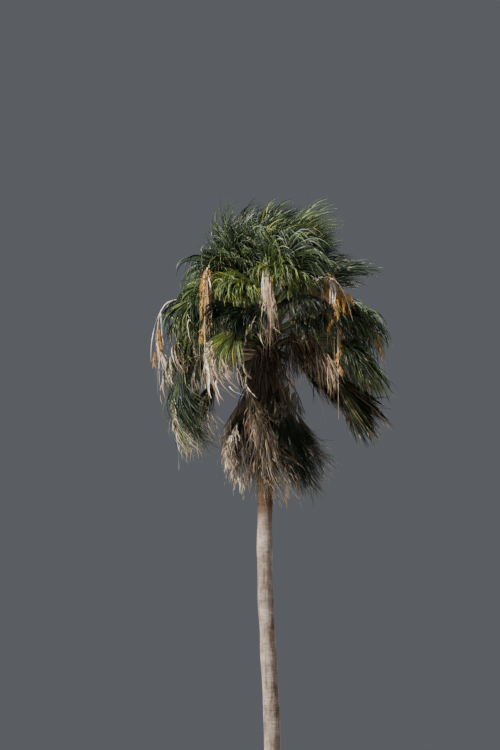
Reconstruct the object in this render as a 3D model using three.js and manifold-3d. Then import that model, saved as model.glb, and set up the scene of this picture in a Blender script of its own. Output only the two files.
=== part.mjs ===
// A tall fan palm in a steady wind: a slim ringed trunk on a flared foot, rows of fan leaves from the
// upright young ones to the dead skirt, and flower stalks that arch out and hang.
// Millimetres, +Z up. The origin is the middle of the flat cut under the trunk, and -Y is the front.
import * as THREE from 'three';
import { mergeVertices } from 'three/addons/utils/BufferGeometryUtils.js';
import Module from 'manifold-3d';

const wasm = await Module();
wasm.setup();

// Driving sizes
const trunkHeight = 10950;
const trunkRadius = { foot: 300, low: 145, high: 124, head: 146 };
const flare = { height: 520, power: 1.15 };
const headStart = 9600; // the old leaf bases thicken the trunk from here up
const headRound = 260; // the growing tip is rounded over this height
const trunkRings = 30;
const trunkSides = 18;
const swelling = { size: 5, pitch: 940 }; // slow swellings of the trunk
const firstBend = { from: 3300, to: 6700, shift: -125 }; // the trunk's slow double bend, along X
const secondBend = { from: 6900, to: 9200, shift: 58 };
const backLean = { from: 300, to: 8200, shift: 90 }; // and its lean along Y

const clearGap = 1.2; // between a leaflet and what was there before it
const seatGap = 0.3; // between a stem's foot and the trunk, and between a stalk and what hangs from it
const seatDepth = 70; // how far inside the trunk's surface a stem starts, before it is cut to its seat
const seatLeast = 30; // how near the trunk's middle a stem may start

const attempts = 21; // how many places a leaf is tried in
const leastShare = 0.05; // what is left of a leaflet that has no room
const leafletShares = [1, 0.85, 0.7, 0.5, 0.3];
const almost = 0.9999; // the end of a path, just short of it

const wind = new THREE.Vector3(1, 0.28, 0.12).normalize();
const gravity = new THREE.Vector3(0, 0, -1);

const bladeThickness = 0.0105; // as a part of the blade's length
const webShare = 0.4; // the part of a blade that isn't split
const kneeShare = 0.74; // where a leaflet starts to narrow to its tip
const kneeWidth = 0.34; // half a leaflet's width there, as a part of its width at the web
const kneePleat = 0.6;
const sideShort = 0.4; // how much shorter the outermost leaflets are
const pleat = 16; // half the height of a blade's folds
const petioleSize = { foot: 21, end: 11, ribEnd: 7, ribShare: 0.1 };
const stemSway = 0.3; // how much less the wind turns a stem than a blade
const leeLift = 0.75; // the wind lifts the blades that point with it
const uneven = { rise: 5, seat: 25, petiole: 0.12, roll: 0.35, blade: 0.06, ray: 0.05 }; // how far leaves differ
const nudgeBy = { azimuth: 2.5, rise: 2, roll: 0.08 }; // how far a leaf is moved each time it won't fit

// Rows of leaves, young to old. Azimuths are in degrees round the trunk: 0 is +X and 270 the front.
// seat is the height of the stem's foot, rise its angle above level there, sag, droop and sway how far,
// in radians, the stem's and the leaflets' weight and the wind turn them.
const leafRows = [
  { name: 'spear_leaf', azimuths: [40], seat: 10940, rise: 88, petiole: 800, blade: 900,
    nod: 0, roll: 0, atMiddle: true, spread: 34, sag: 0, droop: 0.1, sway: 0.6, leaflets: 6, colour: 'youngGreen' },
  { name: 'top_leaf', azimuths: [344, 48, 120, 186, 262], seat: 10800, rise: 84, petiole: 900, blade: 1120,
    nod: 2, roll: 0, spread: 160, sag: 0.05, droop: 0.5, sway: 0.95, leaflets: 12, colour: 'green' },
  { name: 'upper_leaf', azimuths: [10, 84, 152, 212, 292], seat: 10700, rise: 66, petiole: 960, blade: 1150,
    nod: 24, roll: 0, spread: 190, sag: 0.2, droop: 1.6, sway: 0.9, leaflets: 13, colour: 'green' },
  { name: 'shoulder_leaf', azimuths: [342, 46, 116, 180, 224, 256, 312], seat: 10600, rise: 50, petiole: 980,
    blade: 1180, nod: 46, roll: 0, spread: 200, sag: 0.3,
    droop: 1.9, sway: 0.7, leaflets: 12, colour: 'green' },
  { name: 'spreading_leaf', azimuths: [4, 66, 124, 172, 216, 278, 326], seat: 10440, rise: 36, petiole: 1200,
    blade: 1200, nod: 52, roll: 0, spread: 190, sag: 0.4,
    droop: 1.9, sway: 0.5, leaflets: 12, colour: 'darkGreen' },
  { name: 'arching_leaf', azimuths: [36, 104, 160, 196, 246, 354], seat: 10280, rise: 10, petiole: 1300,
    blade: 1180, nod: 48, roll: 0, spread: 160, sag: 0.4,
    droop: 1.8, sway: 0.35, leaflets: 12, colour: 'olive' },
  { name: 'weeping_leaf', azimuths: [75, 135, 184], seat: 10130, rise: 4, petiole: 1560,
    blade: 1300, nod: 58, roll: 25, spread: 84, sag: 0.75,
    droop: 0.6, sway: 0.35, leaflets: 10, colour: 'olive' },
  { name: 'hanging_leaf', azimuths: [314], seat: 10200, rise: 14, petiole: 900,
    blade: 1200, nod: 62, roll: -55, spread: 110, sag: 0.6,
    droop: 0.8, sway: 0.4, leaflets: 10, colour: 'brown' },
  { name: 'streaming_leaf', azimuths: [344], seat: 10110, rise: -10, petiole: 1400,
    blade: 1350, nod: 14, roll: 60, spread: 100, sag: 0.75,
    droop: 0.6, sway: 0.2, leaflets: 10, colour: 'brown' },
  { name: 'collar_leaf', azimuths: [15, 100, 165, 228, 290], seat: 9960, rise: -44, petiole: 660,
    blade: 1250, nod: 12, roll: 0, spread: 84, sag: 0.6,
    droop: 0.2, sway: 0.35, leaflets: 9, colour: 'brown' },
  { name: 'skirt_leaf', azimuths: [345, 50, 130, 190, 255, 310], seat: 9800, rise: -60, petiole: 740,
    blade: 1450, nod: 6, roll: 0, spread: 84, sag: 0.4,
    droop: 0.15, sway: 0.6, leaflets: 9, colour: 'straw' },
];

// Flower stalks: reach is the stalk's length and drop the length of what hangs from its end.
const flowerStalks = [
  { azimuth: 262, seat: 10500, rise: 66, reach: 1250, drop: 1600 },
  { azimuth: 224, seat: 10560, rise: 62, reach: 1500, drop: 2200 },
  { azimuth: 186, seat: 10420, rise: 44, reach: 1750, drop: 1500 },
  { azimuth: 320, seat: 10540, rise: 56, reach: 1400, drop: 1900 },
  { azimuth: 352, seat: 10400, rise: 34, reach: 1750, drop: 1000 },
  { azimuth: 92, seat: 10500, rise: 52, reach: 1500, drop: 1600 },
];
const stalkSize = { foot: 19, end: 12, sag: 1.35, sway: 0.12 };
const panicleSize = {
  core: 17, tip: 6, sag: 3.4, sway: 0.5,
  branches: 7, firstBranch: 0.14, lastBranch: 0.9, branchTurn: 2.4,
  branchLength: 460, branchRadius: 9, branchSway: 0.4, splay: 0.62,
};

const finishes = {
  bark: new THREE.MeshStandardMaterial({ color: 0x94857c, roughness: 0.95, metalness: 0 }),
  youngGreen: new THREE.MeshStandardMaterial({ color: 0x7f8c3e, roughness: 0.6, metalness: 0 }),
  green: new THREE.MeshStandardMaterial({ color: 0x56642c, roughness: 0.6, metalness: 0 }),
  darkGreen: new THREE.MeshStandardMaterial({ color: 0x3d4a26, roughness: 0.6, metalness: 0 }),
  olive: new THREE.MeshStandardMaterial({ color: 0x6b6a3a, roughness: 0.7, metalness: 0 }),
  brown: new THREE.MeshStandardMaterial({ color: 0x6b5238, roughness: 0.85, metalness: 0 }),
  straw: new THREE.MeshStandardMaterial({ color: 0x8f7a63, roughness: 0.9, metalness: 0 }),
  flower: new THREE.MeshStandardMaterial({ color: 0xb98a4e, roughness: 0.85, metalness: 0 }),
};

const radians = THREE.MathUtils.degToRad;
const mix = THREE.MathUtils.lerp;
const ease = THREE.MathUtils.smoothstep;

// The same draws every time for the same seed, each from -1 to 1
function makeDraw(seed) {
  let state = seed;
  return () => {
    state = (state * 1664525 + 1013904223) % 4294967296;
    return (state / 4294967296) * 2 - 1;
  };
}

// Solids and geometries
function solidOf(geometry) {
  const bare = geometry.clone();
  bare.deleteAttribute('normal');
  bare.deleteAttribute('uv');
  const merged = mergeVertices(bare, 1e-3);
  return new wasm.Manifold(new wasm.Mesh({
    numProp: 3,
    vertProperties: new Float32Array(merged.attributes.position.array),
    triVerts: new Uint32Array(merged.index.array),
  }));
}

function geometryOf(solid) {
  const mesh = solid.getMesh();
  const geometry = new THREE.BufferGeometry();
  geometry.setAttribute('position', new THREE.BufferAttribute(mesh.vertProperties, 3));
  geometry.setIndex(new THREE.BufferAttribute(mesh.triVerts, 1));
  geometry.computeVertexNormals();
  return geometry;
}

// The trunk
function trunkAxis(z) {
  const bend = ({ from, to, shift }) => shift * ease(z, from, to);
  return new THREE.Vector3(bend(firstBend) + bend(secondBend), bend(backLean), z);
}

function trunkRadiusAt(z) {
  const shaft = mix(trunkRadius.low, trunkRadius.high, ease(z, 0, headStart));
  const foot = (trunkRadius.foot - trunkRadius.low) * Math.exp(-((z / flare.height) ** flare.power));
  const head = (trunkRadius.head - trunkRadius.high) * ease(z, headStart, headStart + 500);
  const swell = swelling.size * Math.sin((z / swelling.pitch) * Math.PI * 2) * ease(z, 1500, 2500);
  const tip = Math.max(0, (z - trunkHeight + headRound) / headRound);
  return (shaft + foot + head + swell) * Math.sqrt(Math.max(0, 1 - tip ** 2 * 0.75));
}

function trunkGeometry(grown) {
  const profile = [new THREE.Vector2(0, 0)];
  for (let i = 0; i <= trunkRings; i++) {
    const share = i / trunkRings;
    const z = trunkHeight * mix(share ** 1.5, Math.sqrt(share), share); // closer rings at the foot and the tip
    profile.push(new THREE.Vector2(trunkRadiusAt(z) + grown, i === trunkRings ? z + grown : z));
  }
  profile.push(new THREE.Vector2(0, trunkHeight + grown));
  const geometry = new THREE.LatheGeometry(profile, trunkSides);
  geometry.rotateX(Math.PI / 2);
  const position = geometry.attributes.position;
  for (let i = 0; i < position.count; i++) {
    const axis = trunkAxis(position.getZ(i));
    position.setX(i, position.getX(i) + axis.x);
    position.setY(i, position.getY(i) + axis.y);
  }
  return geometry;
}

// A path that starts along a direction, and is turned by a pull that is stronger where it bends easily.
// Returns a function that gives the point and the direction at any share of the length.
function bentPath(start, direction, length, pull, bendsAt) {
  const steps = 16;
  const points = [start.clone()];
  const directions = [direction.clone().normalize()];
  for (let i = 0; i < steps; i++) {
    const turn = bendsAt((i + 0.5) / steps) / steps;
    const next = directions[i].clone().addScaledVector(pull, turn).normalize();
    points.push(points[i].clone().addScaledVector(directions[i].clone().add(next).normalize(), length / steps));
    directions.push(next);
  }
  return (share) => {
    const place = Math.min(share * steps, steps - 1e-6);
    const i = Math.floor(place);
    return {
      point: points[i].clone().lerp(points[i + 1], place - i),
      direction: directions[i].clone().lerp(directions[i + 1], place - i).normalize(),
    };
  };
}

const evenly = () => 1; // bends alike along its length
const towardsTip = (share) => 2.6 * ease(share, 0.2, 1); // stiff at first, limp at its tip

// A tapered limb with a few faces round it, along places that each give a point and a direction
function limb(places, radii, sides, across) {
  const geometry = new THREE.CylinderGeometry(1, 1, 1, sides, places.length - 1);
  const position = geometry.attributes.position;
  const frames = places.map(({ direction }) => {
    const a = across.clone().addScaledVector(direction, -across.dot(direction)).normalize();
    return { a, b: direction.clone().cross(a) };
  });
  for (let i = 0; i < position.count; i++) {
    const row = Math.round((0.5 - position.getY(i)) * (places.length - 1));
    const p = places[row].point.clone()
      .addScaledVector(frames[row].a, position.getX(i) * radii[row])
      .addScaledVector(frames[row].b, position.getZ(i) * radii[row]);
    position.setXYZ(i, p.x, p.y, p.z);
  }
  return solidOf(geometry);
}

// What has been placed already: a new piece keeps clear of all of it
const placed = [];

function isClear(solid) {
  const box = solid.boundingBox();
  return placed.every((other) => {
    for (let k = 0; k < 3; k++) {
      if (box.min[k] > other.box.max[k] + other.gap) return true;
      if (box.max[k] < other.box.min[k] - other.gap) return true;
    }
    return solid.minGap(other.solid, other.gap) >= other.gap;
  });
}

function place(solid, gap = clearGap) {
  placed.push({ solid, gap, box: solid.boundingBox() });
  return solid;
}

// The fan of a leaf: edge rays that the web joins, and a leaflet between each two of them.
// A leaflet's share says how much of its free length it keeps.
function fanRays(leaf) {
  const pull = gravity.clone().multiplyScalar(leaf.droop).addScaledVector(wind, leaf.sway);
  const lengthAt = (t) => leaf.blade * (1 - sideShort * Math.abs(t) ** 1.7);
  const rayAt = (t, nudge) => {
    const angle = (t * radians(leaf.spread)) / 2 + nudge;
    const start = leaf.forward.clone().multiplyScalar(Math.cos(angle)).addScaledVector(leaf.side, Math.sin(angle));
    const across = leaf.side.clone().multiplyScalar(Math.cos(angle)).addScaledVector(leaf.forward, -Math.sin(angle));
    return { path: bentPath(leaf.hub, start, lengthAt(t), pull, towardsTip), across, length: lengthAt(t) };
  };
  const draw = makeDraw(leaf.seed + 77);
  const edges = [];
  for (let j = 0; j <= leaf.leaflets; j++) {
    const ray = rayAt((2 * j) / leaf.leaflets - 1, 0);
    const { point, direction } = ray.path(webShare);
    const normal = direction.clone().cross(ray.across).normalize();
    point.addScaledVector(normal, j % 2 ? pleat : -pleat);
    edges.push({ point, normal });
  }
  const middles = [];
  for (let j = 0; j < leaf.leaflets; j++) {
    middles.push(rayAt((2 * j + 1) / leaf.leaflets - 1, draw() * uneven.ray));
  }
  return { edges, middles };
}

// One leaflet past the web: its knee, where it is still broad, and its tip
function leafletPoints(leaf, rays, j, share) {
  const width = rays.edges[j].point.distanceTo(rays.edges[j + 1].point);
  const at = (s) => {
    const { point, direction } = rays.middles[j].path(webShare + (s - webShare) * share);
    const across = rays.middles[j].across.clone();
    across.addScaledVector(direction, -across.dot(direction)).normalize();
    return { point, across, normal: direction.clone().cross(across).normalize() };
  };
  const knee = at(kneeShare);
  const tip = at(1);
  const tilt = j % 2 ? -1 : 1;
  const corner = (sign) => knee.point.clone()
    .addScaledVector(knee.across, sign * width * kneeWidth)
    .addScaledVector(knee.normal, sign * tilt * pleat * kneePleat);
  return {
    left: { point: corner(-1), normal: knee.normal },
    right: { point: corner(1), normal: knee.normal },
    tip: { point: tip.point, normal: tip.normal },
  };
}

// A closed solid from a sheet of triangles
function thicken(corners, triangles, thickness) {
  const positions = [];
  for (const level of [0.5, -0.5]) {
    for (const { point, normal } of corners) {
      positions.push(...point.clone().addScaledVector(normal, level * thickness).toArray());
    }
  }
  const n = corners.length;
  const faces = [];
  const edges = new Set();
  for (const [a, b, c] of triangles) {
    faces.push(a, b, c, c + n, b + n, a + n);
    edges.add(`${a},${b}`).add(`${b},${c}`).add(`${c},${a}`);
  }
  for (const edge of edges) {
    const [a, b] = edge.split(',').map(Number);
    if (!edges.has(`${b},${a}`)) faces.push(a, a + n, b + n, a, b + n, b);
  }
  return new wasm.Manifold(new wasm.Mesh({
    numProp: 3, vertProperties: new Float32Array(positions), triVerts: new Uint32Array(faces),
  }));
}

function fanSolid(leaf, rays, shares) {
  const corners = [{ point: leaf.hub, normal: leaf.normal }, ...rays.edges];
  const triangles = [];
  for (let j = 0; j < leaf.leaflets; j++) {
    const { left, right, tip } = leafletPoints(leaf, rays, j, shares[j]);
    const [e, f, l] = [j + 1, j + 2, corners.length];
    corners.push(left, right, tip);
    triangles.push([0, e, f], [e, l, l + 1], [e, l + 1, f], [l, l + 2, l + 1]);
  }
  return thicken(corners, triangles, leaf.blade * bladeThickness);
}

function leafletSolid(leaf, rays, j, share) {
  const { left, right, tip } = leafletPoints(leaf, rays, j, share);
  const corners = [rays.edges[j], rays.edges[j + 1], left, right, tip];
  return thicken(corners, [[0, 2, 3], [0, 3, 1], [2, 4, 3]], leaf.blade * bladeThickness);
}

// A leaf's stem from its seat in the trunk to the hub of its fan, and on into the blade as its rib
function leafStem(leaf) {
  const rib = bentPath(leaf.hub, leaf.forward, leaf.blade * petioleSize.ribShare,
    gravity.clone().multiplyScalar(leaf.droop * petioleSize.ribShare), evenly);
  const shares = [0, 0.33, 0.66];
  const places = shares.map(leaf.stemPath);
  places.push({ point: leaf.hub, direction: leaf.forward }, rib(almost));
  const radii = [...shares, 1].map((share) => mix(petioleSize.foot, petioleSize.end, share));
  return limb(places, [...radii, petioleSize.ribEnd], 4, leaf.side);
}

// Where a leaf stands and which way its blade faces
function poseLeaf(row, azimuth, seed, nudge) {
  const draw = makeDraw(seed);
  const turn = radians(azimuth + nudge * nudgeBy.azimuth);
  const out = new THREE.Vector3(Math.cos(turn), Math.sin(turn), 0);
  const rise = radians(row.rise + draw() * uneven.rise + nudge * nudgeBy.rise);
  const seatHeight = row.seat + draw() * uneven.seat;
  const inside = row.atMiddle ? 0 : Math.max(trunkRadiusAt(seatHeight) - seatDepth, seatLeast);
  const foot = trunkAxis(seatHeight).addScaledVector(out, inside);
  const direction = out.clone().multiplyScalar(Math.cos(rise)).add(new THREE.Vector3(0, 0, Math.sin(rise)));
  const stemPull = gravity.clone().multiplyScalar(row.sag).addScaledVector(wind, row.sway * stemSway);
  const stemPath = bentPath(foot, direction, row.petiole * (1 + draw() * uneven.petiole) + seatDepth, stemPull, evenly);
  const { point: hub, direction: stemEnd } = stemPath(almost);
  const roll = radians(row.roll) + draw() * uneven.roll + nudge * nudgeBy.roll;
  const level = new THREE.Vector3(-Math.sin(turn), Math.cos(turn), 0);
  level.addScaledVector(stemEnd, -level.dot(stemEnd)).normalize();
  const nod = radians(row.nod) * (1 - leeLift * row.sway * Math.max(0, out.dot(wind)));
  const forward = stemEnd.clone().applyAxisAngle(level, nod);
  const side = level.applyAxisAngle(forward, roll);
  const normal = forward.clone().cross(side);
  const blade = row.blade * (1 + draw() * uneven.blade);
  return { ...row, blade, seed, stemPath, hub, forward, side, normal };
}

// A leaf in the first place where its stem and web keep clear, each leaflet as long as it has room for
function buildLeaf(row, azimuth, seed, seatCut) {
  for (let attempt = 0; attempt < attempts; attempt++) {
    const nudge = Math.ceil(attempt / 2) * (attempt % 2 ? 1 : -1);
    const leaf = poseLeaf(row, azimuth, seed, nudge);
    const rays = fanRays(leaf);
    const stub = rays.middles.map(() => leastShare);
    const stem = leafStem(leaf).subtract(seatCut);
    const core = fanSolid(leaf, rays, stub).add(stem);
    if (core.decompose().length !== 1 || !isClear(core)) continue;
    const shares = stub.map((least, j) => {
      const fits = leafletShares.find((share) => isClear(leafletSolid(leaf, rays, j, share)));
      return fits ?? least;
    });
    const whole = fanSolid(leaf, rays, shares).add(stem);
    if (whole.decompose().length !== 1) continue;
    return place(whole);
  }
  return null;
}

// A flower stalk arches out from the trunk, and a panicle of thin branches hangs from its end
function stalkPath(stalk) {
  const turn = radians(stalk.azimuth);
  const rise = radians(stalk.rise);
  const out = new THREE.Vector3(Math.cos(turn), Math.sin(turn), 0);
  const foot = trunkAxis(stalk.seat).addScaledVector(out, trunkRadiusAt(stalk.seat) - seatDepth);
  const direction = out.clone().multiplyScalar(Math.cos(rise)).add(new THREE.Vector3(0, 0, Math.sin(rise)));
  const pull = gravity.clone().multiplyScalar(stalkSize.sag).addScaledVector(wind, stalkSize.sway);
  return { path: bentPath(foot, direction, stalk.reach + seatDepth, pull, (s) => 0.4 + 1.2 * s), out };
}

function buildStalk(stalk, seatCut) {
  const { path, out } = stalkPath(stalk);
  const shares = [0, 0.25, 0.5, 0.7, 0.85, almost];
  const radii = shares.map((share) => mix(stalkSize.foot, stalkSize.end, share));
  const across = new THREE.Vector3(-out.y, out.x, 0);
  return limb(shares.map(path), radii, 5, across).subtract(seatCut);
}

function buildPanicle(stalk, seed) {
  const { path, out } = stalkPath(stalk);
  const { point, direction } = path(almost);
  const start = point.clone().addScaledVector(direction, seatGap);
  const across = new THREE.Vector3(-out.y, out.x, 0);
  const pull = gravity.clone().multiplyScalar(panicleSize.sag).addScaledVector(wind, panicleSize.sway);
  const core = bentPath(start, direction, stalk.drop, pull, (s) => 3 * (1 - s) ** 2);
  const shares = [0, 0.12, 0.35, 0.65, almost];
  const radii = shares.map((share) => mix(panicleSize.core, panicleSize.tip, share));
  radii[0] = stalkSize.end;
  let whole = limb(shares.map(core), radii, 4, across);
  const draw = makeDraw(seed);
  for (let i = 0; i < panicleSize.branches; i++) {
    const share = mix(panicleSize.firstBranch, panicleSize.lastBranch, i / panicleSize.branches);
    const from = core(share);
    const turn = i * panicleSize.branchTurn + draw() * 0.4;
    const side = across.clone().applyAxisAngle(from.direction, turn);
    const leave = from.direction.clone().addScaledVector(side, panicleSize.splay);
    const length = panicleSize.branchLength * (1.1 - 0.35 * share) * (1 + draw() * 0.15);
    const hang = gravity.clone().addScaledVector(wind, panicleSize.branchSway);
    const branch = bentPath(from.point, leave, length, hang, evenly);
    const radius = panicleSize.branchRadius;
    const spike = limb([0, 0.5, almost].map(branch), [radius, radius, radius * 0.45], 3, across);
    const joined = whole.add(spike);
    if (isClear(spike) && joined.decompose().length === 1) whole = joined;
  }
  return whole;
}

// The whole palm
function namedMesh(name, solid, finish, origin) {
  const mesh = new THREE.Mesh(geometryOf(solid.translate([-origin.x, -origin.y, -origin.z])), finishes[finish]);
  mesh.name = name;
  mesh.position.copy(origin);
  return mesh;
}

const palm = new THREE.Group();
const ground = new THREE.Vector3();
const crown = new THREE.Group();
crown.position.copy(trunkAxis(trunkHeight));
palm.add(crown);

const trunkSolid = solidOf(trunkGeometry(0));
const seatCut = solidOf(trunkGeometry(seatGap));
palm.add(namedMesh('trunk', place(trunkSolid, seatGap * 0.8), 'bark', ground));

function addToCrown(name, solid, finish) {
  const mesh = namedMesh(name, solid, finish, crown.position);
  mesh.position.set(0, 0, 0);
  crown.add(mesh);
}

flowerStalks.forEach((stalk, i) => {
  const stem = buildStalk(stalk, seatCut);
  const panicle = buildPanicle(stalk, 500 + i);
  place(stem);
  place(panicle);
  addToCrown(`flower_stalk_${i + 1}`, stem, 'flower');
  addToCrown(`flower_panicle_${i + 1}`, panicle, 'flower');
});

leafRows.forEach((row, r) => {
  row.azimuths.forEach((azimuth, i) => {
    const leaf = buildLeaf(row, azimuth, 100 * (r + 1) + i, seatCut);
    if (leaf) addToCrown(`${row.name}_${i + 1}`, leaf, row.colour);
  });
});

export default palm;
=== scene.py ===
import math

import bmesh
import bpy
import numpy as np
from mathutils import Matrix, Vector, noise
from mathutils.kdtree import KDTree


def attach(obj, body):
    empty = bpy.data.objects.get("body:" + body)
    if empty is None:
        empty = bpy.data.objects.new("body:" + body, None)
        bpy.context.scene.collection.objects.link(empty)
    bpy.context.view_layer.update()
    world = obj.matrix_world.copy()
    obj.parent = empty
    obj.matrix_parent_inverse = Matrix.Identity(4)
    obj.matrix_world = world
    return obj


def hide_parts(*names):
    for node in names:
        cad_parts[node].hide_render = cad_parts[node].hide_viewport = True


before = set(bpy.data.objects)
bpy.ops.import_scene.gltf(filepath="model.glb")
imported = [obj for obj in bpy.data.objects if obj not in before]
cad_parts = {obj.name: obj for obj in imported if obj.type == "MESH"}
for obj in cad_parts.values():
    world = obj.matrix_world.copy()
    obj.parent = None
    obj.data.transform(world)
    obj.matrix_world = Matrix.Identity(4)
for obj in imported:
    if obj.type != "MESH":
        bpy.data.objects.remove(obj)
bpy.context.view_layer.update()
print("frame loaded")

# Everything random starts from these
seeds = {"beside": 37, "boots": 71, "row": 100, "layers": 900, "fans": 4000, "flowers": 6000, "loose": 7000,
         "shag": 7100}
drawRule = {"factor": 1664525, "step": 1013904223, "range": 4294967296}


# Small helpers on arrays whose last axis is x, y, z

def unit(v):
    return v / np.maximum(np.linalg.norm(v, axis=-1, keepdims=True), 1e-12)


def dot(a, b):
    return np.sum(a * b, axis=-1, keepdims=True)


def ease(x, low, high):
    t = np.clip((x - low) / (high - low), 0.0, 1.0)
    return t * t * (3 - 2 * t)


def turned(v, axis, angle):
    c, s = math.cos(angle), math.sin(angle)
    return v * c + np.cross(axis, v) * s + axis * np.dot(axis, v) * (1 - c)


def outwards(turn, rise):
    # the level way out from the trunk, the way across it, and the way that rises from it
    out = np.array([math.cos(turn), math.sin(turn), 0.0])
    across = np.array([-math.sin(turn), math.cos(turn), 0.0])
    return out, across, out * math.cos(rise) + np.array([0.0, 0.0, math.sin(rise)])


def makeDraw(seed):
    # the same draws every time for the same seed, each from -1 to 1
    state = seed

    def draw():
        nonlocal state
        state = (state * drawRule["factor"] + drawRule["step"]) % drawRule["range"]
        return state / drawRule["range"] * 2 - 1

    return draw


# The wind and the weight that bend everything
air = {
    "wind": unit(np.array([1.0, 0.28, 0.12])),
    "down": np.array([0.0, 0.0, -1.0]),
}


# The growth rule, the same as the solids grew by

trunkForm = {
    "height": 10.95,
    "foot": 0.3, "low": 0.145, "high": 0.124, "head": 0.146,
    "flareHeight": 0.52, "flarePower": 1.15,
    "headStart": 9.6, "headGrow": 0.5, "headRound": 0.26, "headFlat": 0.75,
    "swelling": 0.005, "swellingPitch": 0.94, "swellingFrom": (1.5, 2.5),
    "firstBend": (3.3, 6.7, -0.125), "secondBend": (6.9, 9.2, 0.058), "backLean": (0.3, 8.2, 0.09),
}


def trunkAxis(z):
    form = trunkForm
    x = sum(shift * float(ease(z, low, high)) for low, high, shift in (form["firstBend"], form["secondBend"]))
    low, high, shift = form["backLean"]
    return np.array([x, shift * float(ease(z, low, high)), z])


def trunkRadius(z):
    form = trunkForm
    shaft = form["low"] + (form["high"] - form["low"]) * float(ease(z, 0, form["headStart"]))
    flare = (form["foot"] - form["low"]) * math.exp(-((max(z, 0) / form["flareHeight"]) ** form["flarePower"]))
    grown = float(ease(z, form["headStart"], form["headStart"] + form["headGrow"]))
    head = (form["head"] - form["high"]) * grown
    swell = form["swelling"] * math.sin(z / form["swellingPitch"] * math.pi * 2)
    swell *= float(ease(z, *form["swellingFrom"]))
    tip = max(0.0, (z - form["height"] + form["headRound"]) / form["headRound"])
    return (shaft + flare + head + swell) * math.sqrt(max(0.0, 1 - tip ** 2 * form["headFlat"]))


pathSteps = 16
nearEnd = 0.9999    # the share of a path that counts as its end
never = 2.0         # a share past every tip


def bentPaths(start, direction, length, pullAt, steps=pathSteps):
    # many paths at once: each starts along its direction and is turned by the pull along it
    points, directions = [start], [unit(direction)]
    for i in range(steps):
        after = unit(directions[-1] + pullAt((i + 0.5) / steps) / steps)
        points.append(points[-1] + unit(directions[-1] + after) * length / steps)
        directions.append(after)
    return np.stack(points, axis=-2), np.stack(directions, axis=-2)


def along(path, shares):
    points, directions = path
    steps = points.shape[-2] - 1
    place = np.minimum(np.asarray(shares, float) * steps, steps - 1e-6)
    i = np.floor(place).astype(int)
    f = (place - i)[..., None]
    return (points[..., i, :] * (1 - f) + points[..., i + 1, :] * f,
            unit(directions[..., i, :] * (1 - f) + directions[..., i + 1, :] * f))


def evenly(pull):
    return lambda share: pull


leafRule = {
    "seatDepth": 0.07, "seatLeast": 0.03, "middleRow": "spear_leaf",
    "webShare": 0.4, "sideShort": 0.4, "sidePower": 1.7, "pleat": 0.016, "thickness": 0.0105,
    "stemSway": 0.3, "leeLift": 0.75, "attempts": 21, "miss": 0.02,
    "tipPull": 2.6, "pullFrom": 0.2, "limpBetween": (0.45, 0.9), "freeBetween": (0.35, 0.7), "freePull": 3.0,
    "uneven": {"rise": 5, "seat": 0.025, "petiole": 0.12, "roll": 0.35, "blade": 0.06},
    "nudgeBy": {"azimuth": 2.5, "rise": 2, "roll": 0.08},
}

# Angles are in degrees. nod and roll turn the blade on its stem (petiole), and spread is how wide its fan
# opens. sag is how the weight bends the stem, droop how it bends the leaflets, and sway how the wind does.
leafColumns = ("name", "seat", "rise", "petiole", "blade", "nod", "roll", "spread", "sag", "droop", "sway",
               "leaflets", "azimuths")
leafRows = [dict(zip(leafColumns, values)) for values in (
    ("spear_leaf", 10.94, 88, 0.8, 0.9, 0, 0, 34, 0, 0.1, 0.6, 6, [40]),
    ("top_leaf", 10.8, 84, 0.9, 1.12, 2, 0, 160, 0.05, 0.5, 0.95, 12, [344, 48, 120, 186, 262]),
    ("upper_leaf", 10.7, 66, 0.96, 1.15, 24, 0, 190, 0.2, 1.6, 0.9, 13, [10, 84, 152, 212, 292]),
    ("shoulder_leaf", 10.6, 50, 0.98, 1.18, 46, 0, 200, 0.3, 1.9, 0.7, 12, [342, 46, 116, 180, 224, 256, 312]),
    ("spreading_leaf", 10.44, 36, 1.2, 1.2, 52, 0, 190, 0.4, 1.9, 0.5, 12, [4, 66, 124, 172, 216, 278, 326]),
    ("arching_leaf", 10.28, 10, 1.3, 1.18, 48, 0, 160, 0.4, 1.8, 0.35, 12, [36, 104, 160, 196, 246, 354]),
    ("weeping_leaf", 10.13, 4, 1.56, 1.3, 58, 25, 84, 0.75, 0.6, 0.35, 10, [75, 135, 184]),
    ("hanging_leaf", 10.2, 14, 0.9, 1.2, 62, -55, 110, 0.6, 0.8, 0.4, 10, [314]),
    ("streaming_leaf", 10.11, -10, 1.4, 1.35, 14, 60, 100, 0.75, 0.6, 0.2, 10, [344]),
    ("collar_leaf", 9.96, -44, 0.66, 1.25, 12, 0, 84, 0.6, 0.2, 0.35, 9, [15, 100, 165, 228, 290]),
    ("skirt_leaf", 9.8, -60, 0.74, 1.45, 6, 0, 84, 0.4, 0.15, 0.6, 9, [345, 50, 130, 190, 255, 310]),
)]


def nodesOf(row):
    return [f"{row['name']}_{i + 1}" for i in range(len(row["azimuths"]))]


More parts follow.
